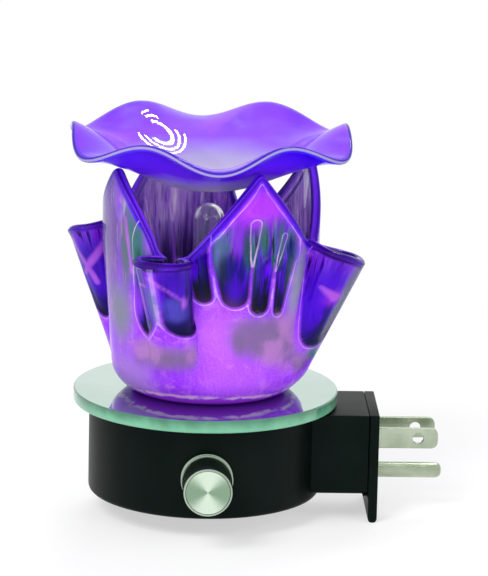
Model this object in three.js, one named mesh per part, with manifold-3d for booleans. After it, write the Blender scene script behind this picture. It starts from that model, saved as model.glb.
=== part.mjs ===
// Plug-in electric oil warmer: a ruffled glass dish on a folded glass shade, on a round mirror,
// on a plastic drum with a dimmer knob and an arm that ends in a wall plate with its plug.
// Millimetres, +Z up. The drum is modelled about its own axis with its underside at height 0, the knob
// towards -Y and the plug towards +X. The whole group is then moved so that its origin lies on
// the wall face of the plug plate, midway between the two blades.
import * as THREE from "three";
import { mergeVertices } from "three/addons/utils/BufferGeometryUtils.js";
import Module from "manifold-3d";

const wasm = await Module();
wasm.setup();

// Clearances
const seatGap = 0.1; // between flat faces that rest on each other
const fitGap = 0.3; // round a piece in the hole or recess that holds it
const turnGap = 0.25; // round a shaft in its bore, or a pin in its socket
const cutOver = 1; // how far a cutting tool reaches past the face it cuts

// Drum and arm, moulded as one shell
const drumRadius = 35.6;
const drumHeight = 27.4;
const shellWall = 2.2;
const drumTop = 2.4;
const drumEdge = 1.6; // rounding of the lower edge
const armWidth = 30;
const armReach = 14.1; // from the drum's side to the arm's end
const armUnderside = 2.6; // above the drum's underside
const armFloor = 1.7;
const armCorner = 1.2; // rounding of the arm's long edges

// Collar that rises from the drum through the mirror into the shade's foot
const collarRadius = 11.5;
const collarRise = 2.2; // above the mirror
const collarWall = 2.4;

// Bottom cover
const coverThickness = 2.2;
const coverRecess = 1.6; // cover's underside above the drum's underside
const ventCount = 5;
const ventLength = 18;
const ventWidth = 2.4;
const ventPitch = 6;

// Screws: four in the cover and two in the lamp bracket
const shankRadius = 1.45;
const headRadius = 2.8;
const headHeight = 1.4;
const coverScrewGrip = 6; // into the drum's bosses
const bracketScrewGrip = 3.6; // into the bosses under the drum's top
const bossRadius = 3.2;
const bossInset = 0.7; // cover bosses, in from the shell's inside
const coverScrewAngles = [45, 135, 225, 315];

// Mirror and the adhesive ring below it
const mirrorRadius = 40.5;
const mirrorThickness = 3.9;
const mirrorBevel = 0.5;
const padThickness = 0.6;
const padInset = 2; // in from the drum's side

// Plug
const plateThickness = 3;
const tabDrop = 6.5; // below the drum's underside
const tabThickness = 2.8;
const ledgeThickness = 0.6;
const ledgeRadius = 2; // rounding from the ledge down to the tab
const pinRise = 2.1; // ground pin's axis above the arm's floor
const bladePitch = 12.7;
const bladeWidth = 6.35;
const bladeThickness = 1.5;
const bladeLength = 18.6;
const bladeCorner = 2.4;
const bladeHole = 1.7;
const bladeHoleReach = 12.5; // from the wall face
const tailWidth = 4;
const tailReach = 6; // behind the retainer
const pinDrop = 11.9; // ground pin's axis below the blades
const pinRadius = 2.4;
const pinLength = 20.6;
const pinNose = 2.2; // length of its rounded end
const pinTip = 66; // degrees of rounding, up to a small flat
const studRadius = 1.2; // the pin's inner end
const retainerThickness = 5.5;

// Knob
const knobHeight = 13.3; // its axis above the drum's underside
const knobStandOff = 0.9; // flange off the drum's side
const knobLength = 15.6;
const knobRadius = 7.55;
const knobTaper = 0.3;
const knobChamfer = 0.45;
const knobGroove = 0.35;
const flangeRadius = 7.9;
const flangeThickness = 2.6;
const nutRecess = 6.5;
const nutRecessDepth = 2.6;
const capRadius = 6.6;
const capThickness = 0.7;

// Dimmer control, clamped to the drum's front wall
const controlRadius = 8;
const controlDepth = 9;
const clampHalf = 9.2; // half the side of the flat inside the wall
const clampDepth = 1.4;
const spotDepth = 0.7; // of the flat outside the wall
const bushingRadius = 3.5;
const bushingReach = 3.1; // past the outside flat
const washerRadius = 6;
const washerThickness = 0.5;
const nutAcross = 10;
const nutThickness = 1.9;
const shaftRadius = 3;
const shaftNeck = 2.3; // radius inside the bushing
const shaftGrip = 8.5; // inside the knob
const shaftRoot = 2; // inside the control

// Dimmer circuit
const boardWidth = 30;
const boardHeight = 16;
const boardThickness = 1.6;
const triacBody = [10, 4.4, 9];
const triacTab = [10, 1.3, 6];
const capacitorBody = [12, 5, 10];
const circuitSpread = 7; // triac and capacitor, either side of the board's middle

// Lamp
const holderRadius = 8.6;
const holderRise = 12; // above the mirror
const holderDepth = 15; // below the drum's top
const holderFlange = 12.5;
const holderFlangeThickness = 2.5;
const bracketThickness = 1;
const bracketWidth = 11;
const bracketCorner = 5;
const bracketHub = 12;
const bracketScrewPitch = 38;
const contactRadius = 1.3;
const contactLength = 8;
const contactRecess = 2; // above the holder's underside
const bulbTip = 57.6; // above the mirror
const bulbRadius = 4.7;
const bulbWall = 0.8;
const pinchWidth = 8.6;
const pinchThickness = 3.6;
const pinchHeight = 6;
const pinchSpigot = 2; // into the bulb
const bulbPinRadius = 0.5;
const bulbPinPitch = 6.35;
const bulbPinReach = 4.4; // into the holder
const bulbPinRoot = 2.5; // into the pinch
const filamentRadius = 0.35;
const filamentSpan = 3.4;
const filamentRise = 24;

// Leads inside the base
const leadRadius = 0.9;
const leadRun = 4; // straight stretch at each end
const leadInset = 1; // in from the board's end

// Glass shade: a cup that folds out into four lobes, with a peak between each two
const shadeWall = 3;
const footRadius = 20.6; // of the flat foot
const heelRadius = 9; // from the foot to the wall, outside
const panelRadius = 31.6; // middle of the wall at the peaks
const wallShift = 0.8; // the hand-folded wall stands off the foot's hole, towards the plug
const peakAngles = [20, 115, 206, 295]; // degrees, each just before its lobe
const lobeAngles = [66, 157, 247, 338];
const lobeReach = [46, 46, 46, 49.5]; // middle of the wall at each lip
const lobeHalfWidth = 8;
const lipHeights = [44, 45.5, 47, 44.5];
const neckHeights = [50, 50, 47, 50]; // where a lobe's sides turn into the panels
const neckAngle = 8; // degrees from the lobe's middle, where a panel turns outwards
const neckTurn = 5.5; // how sharply it turns
const lobeTurn = 5; // how straight the lobe's sides run into its lip
const lobeShare = 0.5; // share of the cup that the lobes spread over
// Rim from each lobe to the peak before it and after it: 1 is a straight slope, less is a fuller one.
const slopePowers = [[1, 0.42], [1, 1], [0.7, 1], [1, 1]];
const foldStart = 4.5; // height where the folds begin
const foldEnd = 47; // height where they are full

// Glass dish on the four peaks
const dishHeight = 62.8; // underside above the mirror
const dishRadius = 43.9;
const dishWall = 2.6;
const dishFlat = 9; // radius of the flat bottom
const dishRise = 13.1;
const dishCurve = 0.7; // 0 is a straight slope, 1 a full S
const waveCount = 6;
const waveTurn = 2; // degrees
const waveHeight = 3.3; // either side of the middle
const waveFlare = 1.3; // how far the troughs flare out
const waveStart = 20; // radius where the waves begin
const waveEase = 1.6;

// Heights and distances that follow
const degree = Math.PI / 180;
const shellInside = drumRadius - shellWall;
const topUnderside = drumHeight - drumTop;
const coverTop = coverRecess + coverThickness;
const padBottom = drumHeight + seatGap;
const mirrorBottom = padBottom + padThickness + seatGap;
const mirrorTop = mirrorBottom + mirrorThickness;
const armEnd = drumRadius + armReach;
const wallFace = armEnd + seatGap + plateThickness;
const armInside = armWidth / 2 - shellWall;
const armFloorTop = armUnderside + armFloor;
const armCeiling = topUnderside - seatGap;
const pinHeight = armFloorTop + pinRise;
const bladeHeight = pinHeight + pinDrop;
const retainerBack = armEnd - retainerThickness;
const tailEnd = retainerBack - tailReach;
const clampFace = shellInside - clampDepth;
const spotFace = drumRadius - spotDepth;
const controlFront = clampFace - seatGap;
const controlBack = controlFront - controlDepth;
const boardBack = controlBack - seatGap - boardThickness;
const boardLow = knobHeight - boardHeight / 2;
const knobBack = drumRadius + knobStandOff;
const knobFront = knobBack + knobLength;
const knobFloor = knobBack + nutRecessDepth;
const holderTop = mirrorTop + holderRise;
const holderBottom = drumHeight - holderDepth;
const holderFlangeTop = topUnderside - seatGap;
const holderFlangeBottom = holderFlangeTop - holderFlangeThickness;
const bracketTop = holderFlangeBottom - seatGap;
const bracketBottom = bracketTop - bracketThickness;
const contactBottom = holderBottom + contactRecess;
const pinchBottom = holderTop + seatGap;
const pinchTop = pinchBottom + pinchHeight;
const screwCircle = shellInside - bossRadius - bossInset;

const atAngle = (radius, angle) => [radius * Math.cos(angle * degree), radius * Math.sin(angle * degree)];
const coverScrews = coverScrewAngles.map((angle) => atAngle(screwCircle, angle));
const bracketScrews = [-bracketScrewPitch / 2, bracketScrewPitch / 2];
const bladeSides = [-bladePitch / 2, bladePitch / 2];
const bulbPins = [-bulbPinPitch / 2, bulbPinPitch / 2];

// A closed geometry as a solid that can be cut and joined.
function solid(geometry) {
  const bare = geometry.index ? geometry.toNonIndexed() : geometry.clone();
  bare.deleteAttribute("normal");
  bare.deleteAttribute("uv");
  const merged = mergeVertices(bare, 1e-4);
  const corners = merged.index.array;
  const kept = [];
  for (let i = 0; i < corners.length; i += 3) {
    const [a, b, c] = corners.slice(i, i + 3);
    if (a !== b && b !== c && c !== a) kept.push(a, b, c);
  }
  const vertProperties = new Float32Array(merged.attributes.position.array);
  return new wasm.Manifold(new wasm.Mesh({ numProp: 3, vertProperties, triVerts: new Uint32Array(kept) }));
}

const joined = (...pieces) => pieces.map(solid).reduce((body, piece) => body.add(piece));
const without = (body, ...tools) => tools.map(solid).reduce((left, tool) => left.subtract(tool), body);

function geometryOf(body) {
  const mesh = body.getMesh();
  const geometry = new THREE.BufferGeometry();
  geometry.setAttribute("position", new THREE.BufferAttribute(mesh.vertProperties, 3));
  geometry.setIndex(new THREE.BufferAttribute(mesh.triVerts, 1));
  return geometry;
}

// A piece turned about Z from a profile of [radius, height] pairs, with the outside running upwards.
function turned(profile, sides = 20) {
  const points = profile.map(([radius, height]) => new THREE.Vector2(radius, height));
  return geometryOf(solid(new THREE.LatheGeometry(points, sides).rotateX(Math.PI / 2)));
}

const rod = (radius, low, high, sides) => turned([[0, low], [radius, low], [radius, high], [0, high]], sides);

const ring = (inner, outer, low, high, sides) =>
  turned([[inner, low], [outer, low], [outer, high], [inner, high], [inner, low]], sides);

function box(low, high) {
  const size = high.map((value, axis) => value - low[axis]);
  const middle = high.map((value, axis) => (value + low[axis]) / 2);
  return new THREE.BoxGeometry(...size).translate(...middle);
}

function roundedRectangle(left, right, low, high, radius) {
  const outline = new THREE.Shape();
  outline.absarc(right - radius, low + radius, radius, -Math.PI / 2, 0);
  outline.absarc(right - radius, high - radius, radius, 0, Math.PI / 2);
  outline.absarc(left + radius, high - radius, radius, Math.PI / 2, Math.PI);
  outline.absarc(left + radius, low + radius, radius, Math.PI, 1.5 * Math.PI);
  outline.closePath();
  return outline;
}

const extruded = (outline, depth, curveSegments = 4) =>
  new THREE.ExtrudeGeometry(outline, { depth, bevelEnabled: false, curveSegments });

// An outline in Y and Z, extruded along X.
const alongX = (outline, from, to) =>
  extruded(outline, to - from).rotateZ(Math.PI / 2).rotateY(Math.PI / 2).translate(from, 0, 0);

// An outline in X and Z, extruded along Y to either side of a middle.
const alongY = (outline, middle, width) =>
  extruded(outline, width).rotateX(Math.PI / 2).translate(0, middle + width / 2, 0);

// Turned pieces on the knob's axis, whose heights are distances from the drum's axis towards the front.
const onKnobAxis = (geometry) => geometry.rotateX(Math.PI / 2).translate(0, 0, knobHeight);
const onPinAxis = (geometry) => geometry.rotateY(Math.PI / 2).translate(0, 0, pinHeight);

// The drum and arm: one shell, open below for the cover and at the arm's end for the plug.
function baseHousing() {
  const edge = [];
  for (let step = 0; step <= 3; step += 1) {
    const [across, down] = atAngle(drumEdge, (step / 3) * 90 - 90);
    edge.push([drumRadius - drumEdge + across, drumEdge + down]);
  }
  const drum = turned([[0, 0], ...edge, [drumRadius, drumHeight], [0, drumHeight]], 72);
  const armOutline = roundedRectangle(-armWidth / 2, armWidth / 2, armUnderside, drumHeight, armCorner);
  const armCavity = box([0, -armInside, armFloorTop], [armEnd + cutOver, armInside, armCeiling]);
  const cavity = rod(shellInside, -cutOver, topUnderside, 72);
  const shell = without(joined(drum, alongX(armOutline, 0, armEnd)), cavity, armCavity);
  const clamp = box(
    [-clampHalf, -drumRadius, knobHeight - clampHalf],
    [clampHalf, -clampFace, knobHeight + clampHalf],
  );
  const clampRound = rod(drumRadius - shellWall / 2, 0, drumHeight, 72);
  const collar = rod(collarRadius, topUnderside, mirrorTop + collarRise, 36);
  const coverBoss = rod(bossRadius, coverTop + seatGap, topUnderside + seatGap, 16);
  const bracketBoss = rod(bossRadius, bracketTop + seatGap, topUnderside + seatGap, 16);
  const bosses = [
    ...coverScrews.map(([x, y]) => coverBoss.clone().translate(x, y, 0)),
    ...bracketScrews.map((x) => bracketBoss.clone().translate(x, 0, 0)),
  ];
  const body = shell.add(solid(clamp).intersect(solid(clampRound))).add(joined(collar, ...bosses));
  const coverPilot = rod(shankRadius + seatGap, 0, coverTop + coverScrewGrip + seatGap, 12);
  const bracketPilot = rod(shankRadius + seatGap, 0, bracketTop + bracketScrewGrip + seatGap, 12);
  return geometryOf(
    without(
      body,
      rod(collarRadius - collarWall, 0, mirrorTop + collarRise + cutOver, 36),
      onKnobAxis(rod(bushingRadius + fitGap, 0, drumRadius + cutOver)),
      onKnobAxis(rod(washerRadius + fitGap, spotFace, drumRadius + cutOver)),
      ...coverScrews.map(([x, y]) => coverPilot.clone().translate(x, y, 0)),
      ...bracketScrews.map((x) => bracketPilot.clone().translate(x, 0, 0)),
    ),
  );
}

// The cover: a disc inside the drum's lower edge, with vents and screw holes.
function bottomCover() {
  const disc = rod(shellInside - fitGap, coverRecess, coverTop, 72);
  const end = ventWidth / 2;
  const slot = roundedRectangle(-end, end, -ventLength / 2, ventLength / 2, end);
  const tools = coverScrews.map(([x, y]) => rod(shankRadius + seatGap, 0, drumHeight, 12).translate(x, y, 0));
  for (let vent = 0; vent < ventCount; vent += 1) {
    tools.push(extruded(slot, drumHeight).translate((vent - (ventCount - 1) / 2) * ventPitch, 0, 0));
  }
  return geometryOf(without(solid(disc), ...tools));
}

// A pan-head screw driven upwards, with its head's seat at height 0.
function screw(length) {
  return turned(
    [
      [0, -headHeight],
      [headRadius - headHeight / 2, -headHeight],
      [headRadius, -headHeight / 2],
      [headRadius, 0],
      [shankRadius, 0],
      [shankRadius, length],
      [0, length],
    ],
    12,
  );
}

const mirrorPad = () =>
  ring(collarRadius + fitGap, drumRadius - padInset, padBottom, padBottom + padThickness, 48);

// The mirror: a glass disc with ground bevels and a hole for the collar.
function mirrorDisc() {
  const hole = collarRadius + fitGap;
  return turned(
    [
      [hole, mirrorBottom],
      [mirrorRadius - mirrorBevel, mirrorBottom],
      [mirrorRadius, mirrorBottom + mirrorBevel],
      [mirrorRadius, mirrorTop - mirrorBevel],
      [mirrorRadius - mirrorBevel, mirrorTop],
      [hole, mirrorTop],
      [hole, mirrorBottom],
    ],
    72,
  );
}

// A slot for a blade, through the plate and the retainer.
function bladeSlot(y, width) {
  const halfWidth = (width + fitGap) / 2;
  const halfThickness = (bladeThickness + fitGap) / 2;
  return box(
    [retainerBack - cutOver, y - halfThickness, bladeHeight - halfWidth],
    [wallFace + cutOver, y + halfThickness, bladeHeight + halfWidth],
  );
}

// The wall plate: its tab reaches below the arm, with a small ledge under the arm's end.
function plugPlate() {
  const back = armEnd + seatGap;
  const inner = wallFace - tabThickness;
  const ledge = armUnderside - seatGap;
  const tabEnd = tabThickness / 2;
  const bend = [inner - ledgeRadius, ledge - ledgeThickness - ledgeRadius];
  const outline = new THREE.Shape();
  outline.moveTo(back, drumHeight);
  outline.lineTo(back, ledge);
  outline.lineTo(bend[0], ledge);
  outline.absarc(...bend, ledgeRadius, Math.PI / 2, 0, true);
  outline.absarc(wallFace - tabEnd, tabEnd - tabDrop, tabEnd, Math.PI, 2 * Math.PI);
  outline.lineTo(wallFace, drumHeight);
  outline.closePath();
  const bore = onPinAxis(rod(pinRadius + fitGap / 2, back - cutOver, wallFace + cutOver, 20));
  return geometryOf(
    without(solid(alongY(outline, 0, armWidth)), ...bladeSides.map((y) => bladeSlot(y, bladeWidth)), bore),
  );
}

// A flat blade with a rounded tip and a hole, and a narrower tail inside the arm.
function blade(y) {
  const tip = wallFace + bladeLength;
  const low = bladeHeight - bladeWidth / 2;
  const high = bladeHeight + bladeWidth / 2;
  const shoulder = armEnd + seatGap;
  const outline = new THREE.Shape();
  outline.moveTo(shoulder, low);
  outline.absarc(tip - bladeCorner, low + bladeCorner, bladeCorner, -Math.PI / 2, 0);
  outline.absarc(tip - bladeCorner, high - bladeCorner, bladeCorner, 0, Math.PI / 2);
  outline.lineTo(shoulder, high);
  outline.lineTo(shoulder, bladeHeight + tailWidth / 2);
  outline.lineTo(tailEnd, bladeHeight + tailWidth / 2);
  outline.lineTo(tailEnd, bladeHeight - tailWidth / 2);
  outline.lineTo(shoulder, bladeHeight - tailWidth / 2);
  outline.closePath();
  const hole = new THREE.Path();
  hole.absarc(wallFace + bladeHoleReach, bladeHeight, bladeHole, 0, 2 * Math.PI);
  outline.holes.push(hole);
  return alongY(outline, y, bladeThickness);
}

// The ground pin: a round-nosed rod with a thinner stud inside the arm.
function groundPin() {
  const tip = wallFace + pinLength;
  const nose = [];
  for (let step = 0; step <= 3; step += 1) {
    const angle = (step / 3) * pinTip * degree;
    nose.push([pinRadius * Math.cos(angle), tip - pinNose + pinNose * Math.sin(angle)]);
  }
  const shoulder = armEnd + seatGap;
  return onPinAxis(
    turned(
      [
        [0, tailEnd],
        [studRadius, tailEnd],
        [studRadius, shoulder],
        [pinRadius, shoulder],
        ...nose,
        [0, nose.at(-1)[1]],
      ],
      20,
    ),
  );
}

// The block in the arm's end that the blades' tails and the pin's stud pass through.
function bladeRetainer() {
  const half = armInside - fitGap;
  const body = box([retainerBack, -half, armFloorTop + fitGap], [armEnd, half, armCeiling - fitGap]);
  const bore = onPinAxis(rod(studRadius + fitGap / 2, retainerBack - cutOver, armEnd + cutOver, 12));
  return geometryOf(without(solid(body), ...bladeSides.map((y) => bladeSlot(y, tailWidth)), bore));
}

// The knob: a flange, a fine groove and a slightly tapered body, hollow behind and recessed in front.
function knobBody() {
  const flangeFront = knobBack + flangeThickness;
  const bore = shaftRadius + seatGap;
  const boreEnd = knobFloor + shaftGrip + seatGap;
  return turned(
    [
      [0, boreEnd],
      [bore, boreEnd],
      [bore, knobFloor],
      [nutRecess, knobFloor],
      [nutRecess, knobBack],
      [flangeRadius - knobChamfer, knobBack],
      [flangeRadius, knobBack + knobChamfer],
      [flangeRadius, flangeFront - knobChamfer],
      [flangeRadius - knobChamfer, flangeFront],
      [knobRadius - knobGroove, flangeFront],
      [knobRadius - knobGroove, flangeFront + knobGroove],
      [knobRadius, flangeFront + 2 * knobGroove],
      [knobRadius - knobTaper, knobFront - knobChamfer],
      [knobRadius - knobTaper - knobChamfer, knobFront],
      [capRadius + seatGap, knobFront],
      [capRadius + seatGap, knobFront - capThickness - seatGap],
      [0, knobFront - capThickness - seatGap],
    ],
    32,
  );
}

const knobCap = () => rod(capRadius, knobFront - capThickness, knobFront, 32);

function dimmerShaft() {
  return turned([
    [0, controlFront - shaftRoot],
    [shaftNeck, controlFront - shaftRoot],
    [shaftNeck, knobFloor],
    [shaftRadius, knobFloor],
    [shaftRadius, knobFloor + shaftGrip],
    [0, knobFloor + shaftGrip],
  ]);
}

// The rotary control, with the well that its shaft turns in.
function dimmerControl() {
  const well = controlFront - shaftRoot - turnGap;
  return turned([
    [0, controlBack],
    [controlRadius, controlBack],
    [controlRadius, controlFront],
    [shaftNeck + turnGap, controlFront],
    [shaftNeck + turnGap, well],
    [0, well],
  ]);
}

const dimmerBushing = () => ring(shaftNeck + turnGap, bushingRadius, clampFace, spotFace + bushingReach);

const dimmerWasher = () =>
  ring(bushingRadius + seatGap, washerRadius, spotFace + seatGap, spotFace + seatGap + washerThickness);

function dimmerNut() {
  const low = spotFace + washerThickness + 2 * seatGap;
  const high = low + nutThickness;
  const hexagon = rod(nutAcross / 2 / Math.cos(30 * degree), low, high, 6);
  const bore = rod(bushingRadius + seatGap, low - cutOver, high + cutOver);
  return geometryOf(without(solid(hexagon), bore));
}

// The board stands on edge behind the control and carries the triac and the timing capacitor.
const dimmerBoard = () =>
  box(
    [-boardWidth / 2, -boardBack - boardThickness, boardLow],
    [boardWidth / 2, -boardBack, boardLow + boardHeight],
  );

// A part on the board's inner face, standing on the board's lower edge, centred at x.
const boardPart = (x, [width, depth, height], low = boardLow) =>
  box([x - width / 2, seatGap - boardBack, low], [x + width / 2, seatGap - boardBack + depth, low + height]);

function triac() {
  const body = boardPart(-circuitSpread, triacBody);
  const tab = boardPart(-circuitSpread, triacTab, boardLow + triacBody[2]);
  return geometryOf(joined(body, tab));
}

const timingCapacitor = () => boardPart(circuitSpread, capacitorBody);

// The ceramic holder hangs by its flange under the drum's top, bored for the bulb's pins and contacts.
function lampHolder() {
  const body = turned(
    [
      [0, holderBottom],
      [holderRadius, holderBottom],
      [holderRadius, holderFlangeBottom],
      [holderFlange, holderFlangeBottom],
      [holderFlange, holderFlangeTop],
      [holderRadius, holderFlangeTop],
      [holderRadius, holderTop],
      [0, holderTop],
    ],
    32,
  );
  const contactTop = contactBottom + contactLength + seatGap;
  const bores = bulbPins.flatMap((x) => [
    rod(bulbPinRadius + turnGap, holderBottom, holderTop + cutOver, 10).translate(x, 0, 0),
    rod(contactRadius + seatGap, holderBottom - cutOver, contactTop, 12).translate(x, 0, 0),
  ]);
  return geometryOf(without(solid(body), ...bores));
}

const lampContact = () =>
  ring(bulbPinRadius + turnGap, contactRadius, contactBottom, contactBottom + contactLength, 12);

// The steel bracket that clamps the holder's flange: a hub with two screwed ears.
function holderBracket() {
  const half = bracketScrewPitch / 2 + bracketWidth / 2;
  const ears = roundedRectangle(-half, half, -bracketWidth / 2, bracketWidth / 2, bracketCorner);
  const plate = joined(
    extruded(ears, bracketThickness).translate(0, 0, bracketBottom),
    rod(bracketHub, bracketBottom, bracketTop, 32),
  );
  return geometryOf(
    without(
      plate,
      rod(holderRadius + fitGap, 0, drumHeight, 32),
      ...bracketScrews.map((x) => rod(shankRadius + seatGap, 0, drumHeight, 12).translate(x, 0, 0)),
    ),
  );
}

// The bulb: a glass capsule, open below over the spigot of its pinch.
function bulbEnvelope() {
  const low = pinchTop + seatGap;
  const tip = mirrorTop + bulbTip;
  const inside = bulbRadius - bulbWall;
  const dome = (radius) =>
    [0, 1, 2, 3].map((step) => [
      radius * Math.cos(step * 30 * degree),
      tip - bulbRadius + radius * Math.sin(step * 30 * degree),
    ]);
  const outer = dome(bulbRadius);
  const inner = dome(inside).reverse();
  outer[3][0] = 0;
  inner[0][0] = 0;
  return turned([[inside, low], [bulbRadius, low], ...outer, ...inner, [inside, low]], 20);
}

// The flattened pinch that seals the bulb, bored for the roots of its two pins.
function bulbPinch() {
  const body = joined(
    box(
      [-pinchWidth / 2, -pinchThickness / 2, pinchBottom],
      [pinchWidth / 2, pinchThickness / 2, pinchTop],
    ),
    rod(bulbRadius - bulbWall - seatGap, pinchTop - seatGap, pinchTop + pinchSpigot, 20),
  );
  const root = rod(bulbPinRadius + seatGap, pinchBottom - cutOver, pinchBottom + bulbPinRoot + seatGap, 10);
  return geometryOf(without(body, ...bulbPins.map((x) => root.clone().translate(x, 0, 0))));
}

const bulbPin = () => rod(bulbPinRadius, holderTop - bulbPinReach, pinchBottom + bulbPinRoot, 10);

// A round wire along hand-chosen points.
function wire(points, radius, steps) {
  const path = new THREE.CatmullRomCurve3(points.map((point) => new THREE.Vector3(...point)));
  const section = new THREE.Shape();
  section.absarc(0, 0, radius, 0, 2 * Math.PI);
  return new THREE.ExtrudeGeometry(section, { steps, extrudePath: path, curveSegments: 3 });
}

function filament() {
  const low = pinchTop + pinchSpigot + seatGap;
  const half = filamentSpan / 2;
  const knee = low + filamentRise - half;
  return wire(
    [[-half, 0, low], [-half, 0, (low + knee) / 2], [-half, 0, knee], [0, 0, low + filamentRise],
      [half, 0, knee], [half, 0, (low + knee) / 2], [half, 0, low]],
    filamentRadius,
    20,
  );
}

// The leads run from the plug's tails to the board, the lamp contacts and the bracket.
const boardEnd = -boardBack + fitGap;
const boardEdge = boardWidth / 2 - leadInset;
const boardTop = boardLow + boardHeight - 2 * leadRadius;
const plugEnd = tailEnd - fitGap;
const lampEnd = contactBottom - fitGap;
const leadLow = (coverTop + holderBottom) / 2;
const bracketEnd = bracketScrewPitch / 2 + bracketWidth / 2 + fitGap;
const bracketMiddle = bracketBottom + bracketThickness / 2;
const leads = {
  line_lead: [
    [plugEnd, bladeSides[0], bladeHeight],
    [plugEnd - leadRun, bladeSides[0], bladeHeight],
    [boardEdge, boardEnd + leadRun, boardTop],
    [boardEdge, boardEnd, boardTop],
  ],
  lamp_lead: [
    [-boardEdge, boardEnd, boardTop],
    [-boardEdge, boardEnd + leadRun, boardTop],
    [-holderRadius, -holderRadius / 2, leadLow],
    [bulbPins[0], 0, lampEnd - leadRun],
    [bulbPins[0], 0, lampEnd],
  ],
  neutral_lead: [
    [plugEnd, bladeSides[1], bladeHeight],
    [plugEnd - leadRun, bladeSides[1], bladeHeight],
    [holderRadius, holderRadius / 2, leadLow],
    [bulbPins[1], 0, lampEnd - leadRun],
    [bulbPins[1], 0, lampEnd],
  ],
  ground_lead: [
    [plugEnd, 0, pinHeight],
    [plugEnd - leadRun, 0, pinHeight],
    [bracketEnd + leadRun, 0, (pinHeight + bracketMiddle) / 2],
    [bracketEnd + leadRun, 0, bracketMiddle],
    [bracketEnd, 0, bracketMiddle],
  ],
};

// A closed skin over rings of points. Single-point rings are poles, and with none the skin closes on itself.
function skin(rings) {
  const points = [];
  const starts = rings.map((row) => points.push(...row) - row.length);
  const corners = [];
  const poled = rings[0].length === 1;
  const count = Math.max(rings[0].length, rings[1].length);
  const last = poled ? rings.length - 1 : rings.length;
  for (let row = 0; row < last; row += 1) {
    const next = (row + 1) % rings.length;
    for (let i = 0; i < count; i += 1) {
      const j = (i + 1) % count;
      const a = starts[row] + (rings[row].length === 1 ? 0 : i);
      const b = starts[row] + (rings[row].length === 1 ? 0 : j);
      const c = starts[next] + (rings[next].length === 1 ? 0 : j);
      const d = starts[next] + (rings[next].length === 1 ? 0 : i);
      if (a !== b) corners.push(a, b, c);
      if (c !== d) corners.push(a, c, d);
    }
  }
  const geometry = new THREE.BufferGeometry().setFromPoints(points);
  geometry.setIndex(corners);
  return geometry;
}

// The dish's underside at a distance from its axis and an angle, with its bottom at height 0.
function dishPoint(distance, angle) {
  const slope = Math.max(0, (distance - dishFlat) / (dishRadius - dishFlat));
  const curve = THREE.MathUtils.smoothstep(distance, dishFlat, dishRadius);
  const grown = Math.max(0, (distance - waveStart) / (dishRadius - waveStart)) ** waveEase;
  const wave = grown * Math.cos(waveCount * (angle - waveTurn * degree));
  const out = distance - waveFlare * wave;
  const height = dishRise * THREE.MathUtils.lerp(slope, curve, dishCurve) + waveHeight * wave;
  return new THREE.Vector3(out * Math.cos(angle), out * Math.sin(angle), height);
}

function oilDish() {
  const rounds = 66;
  const steps = 8;
  const nudge = 0.01;
  const under = [[new THREE.Vector3(0, 0, 0)]];
  const upper = [[new THREE.Vector3(0, 0, dishWall)]];
  for (let step = 1; step <= steps; step += 1) {
    const distance = dishFlat + ((dishRadius - dishFlat) * (step - 1)) / (steps - 1);
    const angles = Array.from({ length: rounds }, (_, i) => (i / rounds) * 2 * Math.PI);
    under.push(angles.map((angle) => dishPoint(distance, angle)));
    upper.unshift(
      angles.map((angle) => {
        const point = dishPoint(distance, angle);
        const outward = dishPoint(distance - nudge, angle).sub(point);
        const around = dishPoint(distance, angle + nudge).sub(point);
        return around.cross(outward).normalize().multiplyScalar(dishWall).add(point);
      }),
    );
  }
  return skin([...under, ...upper]);
}

// Height of a peak's tip, just under the dish that rests on the tip's inner edge.
function peakHeight(angle) {
  const [x, y] = atAngle(panelRadius - shadeWall / 2, angle);
  const under = dishPoint(Math.hypot(x + wallShift, y), Math.atan2(y, x + wallShift));
  return dishHeight + under.z - fitGap;
}

// One half of a fold in plan, from a lobe's lip round its side and neck and along the panel to the peak.
// Each step gives its place when fully folded, its angle on the round cup and its rim height.
function halfFold(lobe, peak, power, reach, lip, neckHeight) {
  const lipSteps = 3;
  const sideSteps = 4;
  const panelSteps = 5;
  const turn = Math.sign(peak - lobe);
  const span = Math.abs(peak - lobe) * degree;
  const neck = neckAngle * degree;
  const middle = reach - lobeHalfWidth;
  const end = new THREE.EllipseCurve(middle, 0, lobeHalfWidth, lobeHalfWidth, 0, Math.PI / 2);
  const neckPoint = new THREE.Vector2(panelRadius * Math.cos(neck), panelRadius * Math.sin(neck));
  const side = new THREE.CubicBezierCurve(
    new THREE.Vector2(middle, lobeHalfWidth),
    new THREE.Vector2(middle - lobeTurn, lobeHalfWidth),
    neckPoint.clone().add(new THREE.Vector2(Math.sin(neck), -Math.cos(neck)).multiplyScalar(neckTurn)),
    neckPoint,
  );
  const panel = new THREE.EllipseCurve(0, 0, panelRadius, panelRadius, neck, span);
  const places = [
    ...end.getPoints(lipSteps).slice(0, -1),
    ...side.getPoints(sideSteps).slice(0, -1),
    ...panel.getPoints(panelSteps),
  ];
  const lobeSteps = lipSteps + sideSteps;
  return places.map((place, step) => {
    const inLobe = Math.min(1, step / lobeSteps);
    const inPanel = Math.max(0, (step - lobeSteps) / panelSteps);
    const around = lobe * degree + turn * span * (lobeShare * inLobe + (1 - lobeShare) * inPanel);
    const folded = place.clone();
    folded.y *= turn;
    folded.rotateAround(new THREE.Vector2(), lobe * degree);
    const rim = lip + (neckHeight - lip) * inLobe + (peakHeight(peak) - neckHeight) * inPanel ** power;
    return { folded, around, rim };
  });
}

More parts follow.
